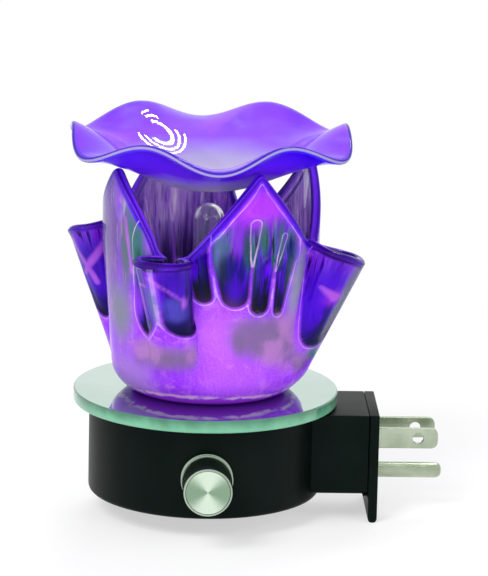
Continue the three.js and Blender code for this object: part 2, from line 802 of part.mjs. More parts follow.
// The whole plan, anticlockwise from the first peak.
function foldPlan() {
  return lobeAngles.flatMap((lobe, i) => {
    const before = peakAngles[i];
    const after = i + 1 < peakAngles.length ? peakAngles[i + 1] : peakAngles[0] + 360;
    const [powerBefore, powerAfter] = slopePowers[i];
    const half = (peak, power) => halfFold(lobe, peak, power, lobeReach[i], lipHeights[i], neckHeights[i]);
    return [...half(before, powerBefore).reverse().slice(0, -1), ...half(after, powerAfter).slice(0, -1)];
  });
}

// The shade: the middle of its wall runs out along the foot, round the heel and up to the rim, and
// the wall stands half its thickness to either side.
function glassShade() {
  const heelSteps = 3;
  const wallSteps = 5;
  const half = shadeWall / 2;
  const heel = heelRadius - half;
  const hole = collarRadius + seatGap + fitGap;
  const plan = foldPlan();
  const place = ({ folded, around }, radius, height) => {
    const fold = THREE.MathUtils.clamp((height - foldStart) / (foldEnd - foldStart), 0, 1);
    const round = new THREE.Vector2(radius * Math.cos(around), radius * Math.sin(around));
    const { x, y } = round.lerp(folded, fold);
    return new THREE.Vector3(x + wallShift, y, height);
  };
  const edge = ({ around }) => new THREE.Vector3(hole * Math.cos(around), hole * Math.sin(around), half);
  const middle = [plan.map(edge)];
  for (let i = 0; i <= heelSteps; i += 1) {
    const [out, up] = atAngle(heel, (i / heelSteps) * 90 - 90);
    middle.push(plan.map((step) => place(step, footRadius + out, heelRadius + up)));
  }
  for (let i = 1; i <= wallSteps; i += 1) {
    const share = i / wallSteps;
    const height = ({ rim }) => heelRadius + (rim - heelRadius) * share;
    middle.push(plan.map((step) => place(step, footRadius + heel, height(step))));
  }
  const offset = (row, i) => {
    const above = middle[Math.min(i + 1, middle.length - 1)];
    const below = middle[Math.max(i - 1, 0)];
    return row.map((_, j) => {
      const up = above[j].clone().sub(below[j]);
      const around = row[(j + 1) % row.length].clone().sub(row.at(j - 1));
      return around.cross(up).normalize().multiplyScalar(half);
    });
  };
  const offsets = middle.map(offset);
  const outer = middle.map((row, i) => row.map((point, j) => point.clone().add(offsets[i][j])));
  const inner = middle.map((row, i) => row.map((point, j) => point.clone().sub(offsets[i][j])));
  return skin([...outer, ...inner.reverse()]);
}

// Finishes
const finish = (color, roughness, metalness) =>
  new THREE.MeshStandardMaterial({ color, roughness, metalness });
const violetGlass = finish(0x7a3cf0, 0.12, 0);
const dishGlass = finish(0x9a78e8, 0.08, 0);
const clearGlass = finish(0xe8eef0, 0.05, 0);
const mirrorGlass = finish(0xc3e1d4, 0.06, 0.6);
const blackPlastic = finish(0x101814, 0.4, 0);
const spunMetal = finish(0xb4c8b6, 0.25, 1);
const platedBrass = finish(0x96a58c, 0.3, 1);
const steel = finish(0x9a9da0, 0.35, 1);
const ceramic = finish(0xece6d8, 0.5, 0);
const adhesive = finish(0x2a2a2a, 0.9, 0);
const laminate = finish(0x2f6a3c, 0.6, 0);
const moulding = finish(0x1b1b1d, 0.5, 0);
const film = finish(0xb8862c, 0.5, 0);
const tungsten = finish(0x6a6a6c, 0.5, 1);
const leadJackets = {
  line_lead: 0x1a1a1a,
  lamp_lead: 0xb02a22,
  neutral_lead: 0xe6e6e2,
  ground_lead: 0x2c7a3a,
};

function add(group, name, geometry, material, position = [0, 0, 0]) {
  const mesh = new THREE.Mesh(geometry, material);
  mesh.name = name;
  mesh.position.set(...position);
  group.add(mesh);
}

const base = new THREE.Group();
add(base, "base_housing", baseHousing(), blackPlastic);
add(base, "bottom_cover", bottomCover(), blackPlastic);
coverScrews.forEach(([x, y], i) => {
  const length = coverThickness + coverScrewGrip;
  add(base, `cover_screw_${i + 1}`, screw(length), steel, [x, y, coverRecess - seatGap]);
});
add(base, "mirror_pad", mirrorPad(), adhesive);
add(base, "mirror_disc", mirrorDisc(), mirrorGlass);

const plug = new THREE.Group();
add(plug, "plug_plate", plugPlate(), blackPlastic);
add(plug, "blade_retainer", bladeRetainer(), moulding);
add(plug, "line_blade", blade(bladeSides[0]), platedBrass);
add(plug, "neutral_blade", blade(bladeSides[1]), platedBrass);
add(plug, "ground_pin", groundPin(), platedBrass);

// The knob's axis points to the front
const dimmer = new THREE.Group();
dimmer.rotation.x = Math.PI / 2;
dimmer.position.z = knobHeight;
add(dimmer, "dimmer_control", dimmerControl(), moulding);
add(dimmer, "dimmer_bushing", dimmerBushing(), platedBrass);
add(dimmer, "dimmer_washer", dimmerWasher(), steel);
add(dimmer, "dimmer_nut", dimmerNut(), steel);
add(dimmer, "dimmer_shaft", dimmerShaft(), steel);
add(dimmer, "knob_body", knobBody(), spunMetal);
add(dimmer, "knob_cap", knobCap(), spunMetal);

const circuit = new THREE.Group();
add(circuit, "dimmer_board", dimmerBoard(), laminate);
add(circuit, "triac", triac(), moulding);
add(circuit, "timing_capacitor", timingCapacitor(), film);
for (const [name, points] of Object.entries(leads)) {
  add(circuit, name, wire(points, leadRadius, 18), finish(leadJackets[name], 0.5, 0));
}

const lamp = new THREE.Group();
add(lamp, "lamp_holder", lampHolder(), ceramic);
add(lamp, "holder_bracket", holderBracket(), steel);
const sides = ["left", "right"];
sides.forEach((side, i) => {
  const length = bracketThickness + bracketScrewGrip;
  add(lamp, `holder_screw_${side}`, screw(length), steel, [bracketScrews[i], 0, bracketBottom - seatGap]);
  add(lamp, `lamp_contact_${side}`, lampContact(), platedBrass, [bulbPins[i], 0, 0]);
  add(lamp, `bulb_pin_${side}`, bulbPin(), platedBrass, [bulbPins[i], 0, 0]);
});
add(lamp, "bulb_pinch", bulbPinch(), clearGlass);
add(lamp, "bulb_envelope", bulbEnvelope(), clearGlass);
add(lamp, "filament", filament(), tungsten);

// The shade stands on the mirror and the dish on the shade's peaks
const glass = new THREE.Group();
glass.position.z = mirrorTop;
add(glass, "glass_shade", glassShade(), violetGlass, [0, 0, seatGap]);
add(glass, "oil_dish", oilDish(), dishGlass, [0, 0, dishHeight + seatGap]);

const warmer = new THREE.Group();
warmer.position.set(-wallFace, 0, -bladeHeight);
warmer.add(base, plug, dimmer, circuit, lamp, glass);

export default warmer;
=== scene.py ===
import math
import bpy
import numpy as np
from mathutils import Matrix, Vector


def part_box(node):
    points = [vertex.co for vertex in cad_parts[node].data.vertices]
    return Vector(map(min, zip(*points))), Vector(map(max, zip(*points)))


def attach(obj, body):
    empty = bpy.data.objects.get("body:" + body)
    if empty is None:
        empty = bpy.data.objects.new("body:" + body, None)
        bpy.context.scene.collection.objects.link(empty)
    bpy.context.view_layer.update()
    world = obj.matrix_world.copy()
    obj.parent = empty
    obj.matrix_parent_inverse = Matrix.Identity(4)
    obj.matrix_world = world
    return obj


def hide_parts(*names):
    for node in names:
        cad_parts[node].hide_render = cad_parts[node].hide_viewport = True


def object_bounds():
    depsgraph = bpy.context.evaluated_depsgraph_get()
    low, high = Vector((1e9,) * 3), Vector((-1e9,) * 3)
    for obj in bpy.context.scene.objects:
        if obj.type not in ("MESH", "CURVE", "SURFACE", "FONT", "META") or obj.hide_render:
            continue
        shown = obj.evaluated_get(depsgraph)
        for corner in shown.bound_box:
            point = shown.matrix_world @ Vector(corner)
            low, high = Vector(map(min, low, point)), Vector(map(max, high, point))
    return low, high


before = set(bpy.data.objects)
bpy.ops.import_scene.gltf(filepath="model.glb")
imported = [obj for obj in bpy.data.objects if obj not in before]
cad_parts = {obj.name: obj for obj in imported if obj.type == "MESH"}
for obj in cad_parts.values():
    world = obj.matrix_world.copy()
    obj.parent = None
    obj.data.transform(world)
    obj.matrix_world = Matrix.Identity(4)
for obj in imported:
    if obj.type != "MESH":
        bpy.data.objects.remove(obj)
cad_box = [list(corner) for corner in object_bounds()]


# Drum and arm: one hollow shell of satin black plastic, moulded open below and at the arm's end.
# It carries everything else. A collar on its top centres the mirror and the shade's foot.
MM = 0.001
mirror_low, mirror_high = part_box("mirror_disc")
drum_foot = Vector(((mirror_low.x + mirror_high.x) / 2, 0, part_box("base_housing")[0].z))
mirror_top = (mirror_high.z - drum_foot.z) / MM


class Flow:
    """A socket of a material's nodes, so that shader maths reads as plain sums."""

    def __init__(self, tree, socket=None):
        self.tree = tree
        self.socket = socket

    def node(self, kind, settings, sockets, output=0):
        made = self.tree.nodes.new(kind)
        for name, value in settings.items():
            if name == "stops":
                ramp = made.color_ramp.elements
                while len(ramp) < len(value):
                    ramp.new(1.0)
                for stop, (position, colour) in zip(ramp, value):
                    stop.position = position
                    stop.color = colour
            else:
                setattr(made, name, value)
        for name, value in sockets.items():
            if isinstance(value, Flow):
                self.tree.links.new(value.socket, made.inputs[name])
            else:
                made.inputs[name].default_value = value
        return Flow(self.tree, made.outputs[output])

    def math(self, operation, *values):
        return self.node("ShaderNodeMath", {"operation": operation}, dict(enumerate(values)))

    def vector(self, operation, *values, output=0):
        return self.node("ShaderNodeVectorMath", {"operation": operation}, dict(enumerate(values)), output)

    def __add__(self, other):
        return self.math("ADD", self, other)

    def __radd__(self, other):
        return self.math("ADD", other, self)

    def __sub__(self, other):
        return self.math("SUBTRACT", self, other)

    def __rsub__(self, other):
        return self.math("SUBTRACT", other, self)

    def __mul__(self, other):
        return self.math("MULTIPLY", self, other)

    def __rmul__(self, other):
        return self.math("MULTIPLY", other, self)

    def between(self, low, high):
        """0 below low, 1 above high, and a smooth step from one to the other."""
        settings = {"interpolation_type": "SMOOTHSTEP"}
        return self.node("ShaderNodeMapRange", settings, {"Value": self, "From Min": low, "From Max": high})

    def mix(self, low, high):
        """From one colour to another, with this value as the share of the second."""
        return self.node("ShaderNodeMix", {"data_type": "RGBA"}, {0: self, 6: low, 7: high}, 2)

    def larger(self, other):
        return self.math("MAXIMUM", self, other)

    def length(self):
        return self.vector("LENGTH", self, output="Value")

    def off_axis(self, centre, across):
        """The way to this place from an axis through a centre; across is 0 along the axis and 1 elsewhere."""
        return self.vector("MULTIPLY", self.vector("SUBTRACT", self, centre), across)

    def ramp(self, stops):
        """The colour at this value on a ramp of (position, colour) stops."""
        return self.node("ShaderNodeValToRGB", {"stops": stops}, {"Fac": self})

    def place(self):
        """The place on a piece, in metres of the shared frame."""
        return self.node("ShaderNodeTexCoord", {}, {}, "Object")

    def height(self):
        return self.node("ShaderNodeSeparateXYZ", {}, {"Vector": self}, "Z")

    def stretched(self, scale):
        return self.node("ShaderNodeMapping", {}, {"Vector": self, "Scale": scale})

    def noise(self, scale, detail, distortion=0.0):
        sockets = {"Vector": self, "Scale": scale, "Detail": detail, "Distortion": distortion}
        return self.node("ShaderNodeTexNoise", {}, sockets)

    def bump(self, strength, distance):
        """A normal that follows this value as a height."""
        return self.node("ShaderNodeBump", {}, {"Strength": strength, "Distance": distance, "Height": self})

    def out_of(self, node, name):
        """An output of a node that is already there."""
        return Flow(self.tree, node.outputs[name])

    def into(self, shader, name):
        self.tree.links.new(self.socket, shader.inputs[name])


def tone(red, green, blue):
    """A colour as it is seen, 0 to 255, in linear light."""
    seen = (red / 255, green / 255, blue / 255)
    linear = [v / 12.92 if v <= 0.04045 else ((v + 0.055) / 1.055) ** 2.4 for v in seen]
    return (*linear, 1.0)


def finish(name, constants):
    """A material with its constant sockets set: the material, the start of its flows and its shader."""
    material = bpy.data.materials.new(name)
    material.use_nodes = True
    shader = material.node_tree.nodes["Principled BSDF"]
    for socket, value in constants.items():
        shader.inputs[socket].default_value = value
    return material, Flow(material.node_tree), shader


def moulded(name, dark, light, rough, grain, constants):
    """A moulded or dipped surface: faint clouds of colour and gloss over a fine grain."""
    material, flow, shader = finish(name, constants)
    place = flow.place()
    cloud = place.noise(70.0, 4.0)
    speck = place.noise(2600.0, 2.0)
    cloud.between(0.3, 0.7).mix(dark, light).into(shader, "Base Color")
    (rough + (cloud - 0.5) * 0.16).into(shader, "Roughness")
    speck.bump(grain, 0.00006).into(shader, "Normal")
    return material


def eased(corners, steps=6):
    """A profile of (radius, height, rounding) corners as points, with each corner rounded off."""
    points = []
    for i, (radius, height, rounding) in enumerate(corners):
        corner = np.array((radius, height), float)
        if rounding == 0:
            points.append(corner)
            continue
        before = np.array(corners[i - 1][:2], float) - corner
        after = np.array(corners[(i + 1) % len(corners)][:2], float) - corner
        start = corner + before / np.linalg.norm(before) * rounding
        end = corner + after / np.linalg.norm(after) * rounding
        for share in np.linspace(0, 1, steps):
            points.append((1 - share) ** 2 * start + 2 * share * (1 - share) * corner + share**2 * end)
    return points


def turned(profile, sides):
    """Points and faces of a closed profile of (radius, height) turned about Z, in millimetres."""
    angles = np.linspace(0, 2 * math.pi, sides, endpoint=False)
    rings = [np.c_[r * np.cos(angles), r * np.sin(angles), np.full(sides, h)] for r, h in profile]
    return skin([ring if ring[:, :2].any() else ring[:1] for ring in rings])


def skin(rings):
    """Points and faces over rings of equal length, closed from last to first; single points are poles."""
    points = np.concatenate(rings)
    starts = np.cumsum([0] + [len(ring) for ring in rings])
    faces = []
    for row, ring in enumerate(rings):
        after = (row + 1) % len(rings)
        count = max(len(ring), len(rings[after]))
        if count == 1:
            continue
        for i in range(count):
            j = (i + 1) % count
            near = [starts[row] + k for k in ((i, j) if len(ring) > 1 else (0,))]
            far = [starts[after] + k for k in ((j, i) if len(rings[after]) > 1 else (0,))]
            faces.append([int(k) for k in near + far])
    return points, faces


def build(name, shape, materials, body, nodes, crease=38):
    """A piece from points in millimetres about the drum's foot, riding on a body in place of CAD nodes."""
    points, faces = shape
    mesh = bpy.data.meshes.new(name)
    mesh.from_pydata((np.asarray(points) * MM + np.array(drum_foot)).tolist(), [], faces)
    for material in materials:
        mesh.materials.append(material)
    mesh.polygons.foreach_set("use_smooth", [True] * len(faces))
    mesh.set_sharp_from_angle(angle=math.radians(crease))
    piece = bpy.data.objects.new(name, mesh)
    bpy.context.scene.collection.objects.link(piece)
    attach(piece, body)
    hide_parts(*nodes)
    return piece


def slab(outlines, depth, edge):
    """Points and faces of a flat outline with holes, in XY about 0, of a given depth with eased edges."""
    curve = bpy.data.curves.new("outline", "CURVE")
    curve.dimensions = "2D"
    curve.fill_mode = "BOTH"
    curve.extrude = depth / 2 - edge
    curve.bevel_depth = edge
    curve.bevel_resolution = 2
    curve.offset = -edge
    for outline in outlines:
        spline = curve.splines.new("POLY")
        spline.points.add(len(outline) - 1)
        for point, (x, y) in zip(spline.points, outline):
            point.co = (x, y, 0, 1)
        spline.use_cyclic_u = True
    holder = bpy.data.objects.new("outline", curve)
    bpy.context.scene.collection.objects.link(holder)
    mesh = holder.evaluated_get(bpy.context.evaluated_depsgraph_get()).to_mesh()
    points = np.array([vertex.co for vertex in mesh.vertices])
    faces = [list(polygon.vertices) for polygon in mesh.polygons]
    bpy.data.objects.remove(holder)
    bpy.data.curves.remove(curve)
    return points, faces


soft_gloss = {"Specular IOR Level": 0.08, "Specular Tint": (0.8, 1.0, 0.97, 1.0)}
black_plastic = moulded("black_plastic", tone(2, 8, 6), tone(6, 13, 11), 0.4, 0.25, soft_gloss)
drum_radius = 35.6
drum_height = 27.4
shell_wall = 2.2
top_wall = 2.4
collar_radius = 11.5
collar_bore = 9.1
collar_top = mirror_top + 2.2
foot_round = 1.7
edge_round = 0.5
root_round = 0.2
roof_round = 0.6
mouth_round = 0.3
drum_sides = 160
bore = drum_radius - shell_wall
roof = drum_height - top_wall
drum_profile = eased(
    [
        (bore, 0, mouth_round),
        (drum_radius, 0, foot_round),
        (drum_radius, drum_height, edge_round),
        (collar_radius, drum_height, root_round),
        (collar_radius, collar_top, edge_round),
        (collar_bore, collar_top, edge_round),
        (collar_bore, roof, root_round),
        (bore, roof, roof_round),
    ]
)
drum = turned(drum_profile, drum_sides)
build("drum_shell", drum, [black_plastic], "base", ["base_housing"])

arm_width = 30
arm_low = 2.6
arm_root = 28
arm_end = 49.7
arm_corner = 1.3
arm_ease = 0.35


def arm_outline(inset):
    """The arm's section, or its bore where it is set in by the wall."""
    side = arm_width / 2 - inset
    low, high = arm_low + inset, drum_height - inset
    upper_corner = arm_corner / 2
    return eased(
        [
            (-side, low, arm_corner),
            (side, low, arm_corner),
            (side, high, upper_corner),
            (-side, high, upper_corner),
        ]
    )


points, faces = slab([arm_outline(0), arm_outline(shell_wall)[::-1]], arm_end - arm_root, arm_ease)
arm_points = np.c_[points[:, 2] + (arm_end + arm_root) / 2, points[:, 0], points[:, 1]]
build("arm_shell", (arm_points, faces), [black_plastic], "base", [])


# Bottom cover: a vented disc of the same plastic, screwed up into the drum from below.
# Its screws are zinc-plated steel, as are the lamp bracket's.


def dress(material, *nodes):
    """Lays a material on CAD nodes that show as they are."""
    for node in nodes:
        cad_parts[node].data.materials[0] = material


steel = moulded("plated_steel", tone(140, 143, 145), tone(172, 176, 178), 0.32, 0.1, {"Metallic": 1.0})
dress(black_plastic, "bottom_cover")
dress(steel, *[f"cover_screw_{number}" for number in range(1, 5)])


# Mirror: a round of silvered float glass with a ground green edge, stuck to the drum's top by a foam ring.
# The silver is on its underside, so the glass adds a green cast and a bright line round the rim.
foam = moulded("foam_adhesive", tone(34, 34, 34), tone(52, 52, 52), 0.9, 0.6, {})
dress(foam, "mirror_pad")

silvered, flow, shader = finish(
    "silvered_glass", {"Metallic": 1.0, "Coat Weight": 0.6, "Coat Roughness": 0.02}
)
place = flow.place()
smear = place.noise(45.0, 5.0)
smear.between(0.25, 0.75).mix(tone(166, 198, 186), tone(182, 210, 199)).into(shader, "Base Color")
(0.04 + 0.06 * smear.between(0.45, 0.8)).into(shader, "Roughness")

green_edge, flow, shader = finish(
    "green_glass_edge", {"IOR": 1.52, "Coat Weight": 0.5, "Transmission Weight": 0.25, "Roughness": 0.16}
)
place = flow.place()
height = place.height()
ripple = place.noise(160.0, 3.0)
deep = (height - mirror_low.z) * (1 / (mirror_high.z - mirror_low.z)) + (ripple - 0.5) * 0.9
deep.between(0.0, 1.1).mix(tone(112, 186, 150), tone(54, 122, 92)).into(shader, "Base Color")

mirror_radius = 40.5
mirror_bottom = (mirror_low.z - drum_foot.z) / MM
mirror_hole = 11.8
bevel = 0.5
flat_enough = 0.98
mirror_profile = eased(
    [
        (mirror_hole, mirror_bottom, 0),
        (mirror_radius, mirror_bottom, bevel),
        (mirror_radius, mirror_top, bevel),
        (mirror_hole, mirror_top, 0),
    ]
)
glass_round = turned(mirror_profile, drum_sides)
mirror = build("mirror_glass", glass_round, [silvered, green_edge], "base", ["mirror_disc"])
for polygon in mirror.data.polygons:
    if abs(polygon.normal.z) < flat_enough:
        polygon.material_index = 1


# Wall plate: a flat black moulding across the arm's end, with a tab below that steadies it on the wall.
# The retainer block behind it holds the blades' tails.
plate_thickness = 3.0
wall_face = -drum_foot.x / MM
plate_back = wall_face - plate_thickness
plate_round = 0.3
plate_ease = 0.4
tab_low = -6.5
tab_thickness = 2.8
tab_back = wall_face - tab_thickness
ledge = arm_low - 0.1
ledge_run = 2.0
ledge_drop = 0.6
bend = 1.3
plate_outline = eased(
    [
        (plate_back, drum_height, plate_round),
        (plate_back, ledge, root_round),
        (tab_back - ledge_run, ledge, root_round),
        (tab_back, ledge - ledge_drop, bend),
        (tab_back, tab_low, tab_thickness / 2),
        (wall_face, tab_low, tab_thickness / 2),
        (wall_face, drum_height, plate_round),
    ]
)[::-1]
points, faces = slab([plate_outline], arm_width, plate_ease)
plate_points = np.c_[points[:, 0], -points[:, 2], points[:, 1]]
build("wall_plate", (plate_points, faces), [black_plastic], "base", ["plug_plate"])
inner_plastic = moulded("inner_plastic", tone(24, 24, 26), tone(34, 34, 36), 0.5, 0.3, {})
dress(inner_plastic, "blade_retainer")


# Plug blades and ground pin: brass, stamped or turned, then nickel plated to a soft grey-green shine.
# The blades are flat with rounded tips and a hole; the round-nosed pin sits below them.
nickel, flow, shader = finish("nickel_plate", {"Metallic": 1.0})
place = flow.place()
drawn = place.stretched((60.0, 900.0, 900.0))
lines = drawn.noise(1.0, 3.0)
cloud = place.noise(120.0, 2.0)
cloud.between(0.3, 0.7).mix(tone(160, 172, 148), tone(186, 196, 176)).into(shader, "Base Color")
(0.2 + 0.14 * lines).into(shader, "Roughness")
lines.bump(0.12, 0.00003).into(shader, "Normal")

blade_height = -drum_foot.z / MM
blade_width = 6.35
blade_thickness = 1.5
blade_tip = wall_face + 18.6
blade_corner = 2.4
blade_ease = 0.18
tip_steps = 10
hole_radius = 1.7
hole_sides = 40
hole_place = wall_face + 12.5
round_hole = [
    (hole_place + hole_radius * math.cos(turn), hole_radius * math.sin(turn))
    for turn in np.linspace(2 * math.pi, 0, hole_sides, endpoint=False)
]
half_width = blade_width / 2
blade_outline = eased(
    [
        (plate_back, -half_width, 0),
        (blade_tip, -half_width, blade_corner),
        (blade_tip, half_width, blade_corner),
        (plate_back, half_width, 0),
    ],
    tip_steps,
)
points, faces = slab([blade_outline, round_hole], blade_thickness, blade_ease)
for node in ("line_blade", "neutral_blade"):
    low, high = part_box(node)
    middle = (low.y + high.y) / 2 / MM
    blade_points = np.c_[points[:, 0], middle - points[:, 2], points[:, 1] + blade_height]
    build(f"{node}_plated", (blade_points, faces), [nickel], "base", [node])

pin_low, pin_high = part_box("ground_pin")
pin_radius = (pin_high.y - pin_low.y) / 2 / MM
pin_tip = (pin_high.x - drum_foot.x) / MM
pin_height = ((pin_low.z + pin_high.z) / 2 - drum_foot.z) / MM
pin_nose = 2.2
pin_sides = 48
pin_steps = 9
pin_half = [(0, plate_back, 0), (pin_radius, plate_back, 0), (pin_radius, pin_tip, pin_nose), (0, pin_tip, 0)]
points, faces = turned(eased(pin_half, pin_steps), pin_sides)
pin_points = np.c_[points[:, 2], points[:, 0], points[:, 1] + pin_height]
build("ground_pin_plated", (pin_points, faces), [nickel], "base", ["ground_pin"])


# Dimmer: a rotary control clamped inside the drum's front by a washer and nut on its threaded bushing.
# The board behind it carries a triac and a film capacitor, and insulated leads join it to the plug and lamp.
dress(inner_plastic, "dimmer_control", "triac")
dress(steel, "dimmer_washer", "dimmer_nut", "dimmer_shaft")
dress(nickel, "dimmer_bushing")
inner_finishes = {
    "dimmer_board": (tone(38, 92, 52), tone(52, 112, 66)),
    "timing_capacitor": (tone(170, 120, 36), tone(190, 140, 52)),
    "line_lead": (tone(22, 22, 22), tone(34, 34, 34)),
    "lamp_lead": (tone(160, 34, 28), tone(184, 48, 40)),
    "neutral_lead": (tone(222, 222, 218), tone(236, 236, 232)),
    "ground_lead": (tone(38, 110, 52), tone(50, 130, 64)),
}
for node, (dark, light) in inner_finishes.items():
    dress(moulded(f"{node}_skin", dark, light, 0.5, 0.2, {}), node)


# Knob: a turned metal cup with a flange and a fine groove behind, and a spun disc let into its face.
# It pushes onto the dimmer's shaft and turns with it.
knob_low, knob_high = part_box("knob_body")
knob_height = ((knob_low.z + knob_high.z) / 2 - drum_foot.z) / MM
knob_back = -knob_high.y / MM
knob_front = -knob_low.y / MM
turned_metal, flow, shader = finish("turned_metal", {"Metallic": 1.0})
place = flow.place()
rings = place.stretched((40.0, 5200.0, 40.0))
lathe_marks = rings.noise(1.0, 2.0)
lathe_marks.between(0.3, 0.7).mix(tone(150, 168, 150), tone(190, 206, 188)).into(shader, "Base Color")
(0.14 + 0.14 * lathe_marks).into(shader, "Roughness")
lathe_marks.bump(0.2, 0.00004).into(shader, "Normal")

spun_face_with_painted_highlight, flow, shader = finish("spun_face_with_painted_highlight", {"Metallic": 1.0})
place = flow.place()
centre = (drum_foot.x, 0.0, drum_foot.z + knob_height * MM)
flat = place.off_axis(centre, (1.0, 0.0, 1.0))
spinning = {"W": flat.length(), "Scale": 6500.0, "Detail": 2.0}
circles = flow.node("ShaderNodeTexNoise", {"noise_dimensions": "1D"}, spinning)
# Painted highlight: the face is painted brighter towards its top and bottom and darker at its sides, over the
# fine spun rings.
upright = flat.vector("NORMALIZE", flat).height()
painted_face_highlight = (upright * upright + (circles - 0.5) * 0.5).between(0.05, 0.95)
painted_face_highlight.mix(tone(140, 168, 142), tone(222, 240, 220)).into(shader, "Base Color")
(0.22 + 0.1 * circles).into(shader, "Roughness")
circles.bump(0.5, 0.00005).into(shader, "Normal")

bore_radius = 6.5
bore_depth = 2.6
flange_radius = 7.9
flange_depth = 1.0
waist_radius = 7.3
waist_start = 1.2
groove = 0.35
ring_radius = 7.85
ring_start = 2.0
ring_end = 2.6
cup_radius = 7.55
face_radius = 7.25
cap_radius = 6.6
cap_gap = 0.1
cap_thickness = 0.7
cap_edge = 0.05
cap_dip = 0.25
knob_sides = 96
knob_steps = 5
cap_seat = knob_front - cap_thickness
knob_profile = eased(
    [
        (0, knob_back + bore_depth, 0),
        (bore_radius, knob_back + bore_depth, 0.3),
        (bore_radius, knob_back, 0.2),
        (flange_radius, knob_back, 0.4),
        (flange_radius, knob_back + flange_depth, 0.4),
        (waist_radius, knob_back + waist_start, 0.1),
        (waist_radius, knob_back + waist_start + groove, 0.1),
        (ring_radius, knob_back + ring_start, 0.3),
        (ring_radius, knob_back + ring_end, 0.3),
        (waist_radius, knob_back + ring_end, 0.1),
        (waist_radius, knob_back + ring_end + groove, 0.1),
        (cup_radius, knob_back + ring_end + 2 * groove, 0.1),
        (face_radius, knob_front, 0.5),
        (cap_radius + cap_gap, knob_front, 0.12),
        (cap_radius + cap_gap, cap_seat, 0.1),
        (0, cap_seat, 0),
    ],
    knob_steps,
)
cap_profile = eased(
    [
        (0, cap_seat, 0),
        (cap_radius, cap_seat, 0),
        (cap_radius, knob_front - cap_edge, 0.2),
        (0, knob_front - cap_dip, 0),
    ],
    knob_steps,
)


def facing_front(profile):
    """A profile turned about the knob's axis, which runs to the front."""
    points, faces = turned(profile, knob_sides)
    return np.c_[points[:, 0], -points[:, 2], points[:, 1] + knob_height], faces


build("knob_cup", facing_front(knob_profile), [turned_metal], "knob", ["knob_body"])
build("knob_face_disc", facing_front(cap_profile), [spun_face_with_painted_highlight], "knob", ["knob_cap"])


# Lamp holder and bulb: a white ceramic holder stands up through the collar, and a clear capsule bulb
# with a pinched glass foot pushes its two pins into it.
ceramic = moulded("ceramic_body", tone(226, 220, 206), tone(240, 236, 226), 0.45, 0.2, {})
dress(ceramic, "lamp_holder")
dress(steel, "holder_bracket", "holder_screw_left", "holder_screw_right")
dress(nickel, "lamp_contact_left", "lamp_contact_right", "bulb_pin_left", "bulb_pin_right")
bulb_glass, flow, shader = finish("bulb_glass", {"Transmission Weight": 0.95, "IOR": 1.47})
place = flow.place()
haze = place.noise(90.0, 3.0)
haze.between(0.3, 0.8).mix(tone(250, 250, 252), tone(232, 230, 238)).into(shader, "Base Color")
(0.01 + 0.06 * haze.between(0.5, 0.9)).into(shader, "Roughness")
dress(bulb_glass, "bulb_pinch")
tungsten = moulded("tungsten", tone(84, 82, 80), tone(112, 110, 106), 0.4, 0.1, {"Metallic": 1.0})
dress(tungsten, "filament")
bulb_low, bulb_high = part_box("bulb_envelope")
bulb_radius = (bulb_high.y - bulb_low.y) / 2 / MM
bulb_foot = (bulb_low.z - drum_foot.z) / MM
bulb_tip = (bulb_high.z - drum_foot.z) / MM
bulb_wall = 0.8
bulb_bore = bulb_radius - bulb_wall
bulb_sides = 48
dome_steps = 12


def dome(radius):
    """The capsule's round end, from its side up to its tip."""
    turns = np.linspace(0, math.pi / 2, dome_steps)[:-1]
    side = [(radius * math.cos(turn), bulb_tip - bulb_radius + radius * math.sin(turn)) for turn in turns]
    return [*side, (0, bulb_tip - bulb_radius + radius)]


mouth = [(bulb_bore, bulb_foot), (bulb_radius, bulb_foot)]
capsule = turned([*mouth, *dome(bulb_radius), *dome(bulb_bore)[::-1]], bulb_sides)
build("bulb_capsule", capsule, [bulb_glass], "bulb", ["bulb_envelope"])


# Oil dish: a shallow bowl of violet glass, slumped in a mould so that its rim waves, then fire polished.
# It only rests on the shade's four peaks, and its glass thins towards the rim.
dish_radius = 43.9
dish_flat = 9.0
dish_rise = 13.9
dish_wall = 2.6
rim_wall = 1.7
thin_run = 12
even_share = 0.3
waves = 6
wave_turn = math.radians(2)
wave_start = 20.0
wave_growth = 1.6
wave_height = 3.3
wave_flare = 1.3
dish_rest = 62.8
dish_columns = 288
first_ring = 1.5
flat_rows = 4
slope_rows = 50
edge_turns = 11
all_smooth = 180
dish_low = (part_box("oil_dish")[0].z - drum_foot.z) / MM


def dish_under(distance, angle):
    """The dish's underside: distance from its axis with the rim's flare, and height above its bottom."""
    slope = np.clip((distance - dish_flat) / (dish_radius - dish_flat), 0, 1)
    curve = slope * slope * (3 - 2 * slope)
    grown = np.clip((distance - wave_start) / (dish_radius - wave_start), 0, 1) ** wave_growth
    wave = grown * np.cos(waves * (angle - wave_turn))
    bowl = dish_rise * (even_share * slope + (1 - even_share) * curve)
    return distance - wave_flare * wave, bowl + wave_height * wave


def normals(grid):
    """Unit normals of a grid of points whose rows close on themselves."""
    up = np.gradient(grid, axis=0)
    along = np.roll(grid, -1, axis=1) - np.roll(grid, 1, axis=1)
    across = np.cross(along, up)
    return across / np.maximum(np.linalg.norm(across, axis=2, keepdims=True), 1e-9)


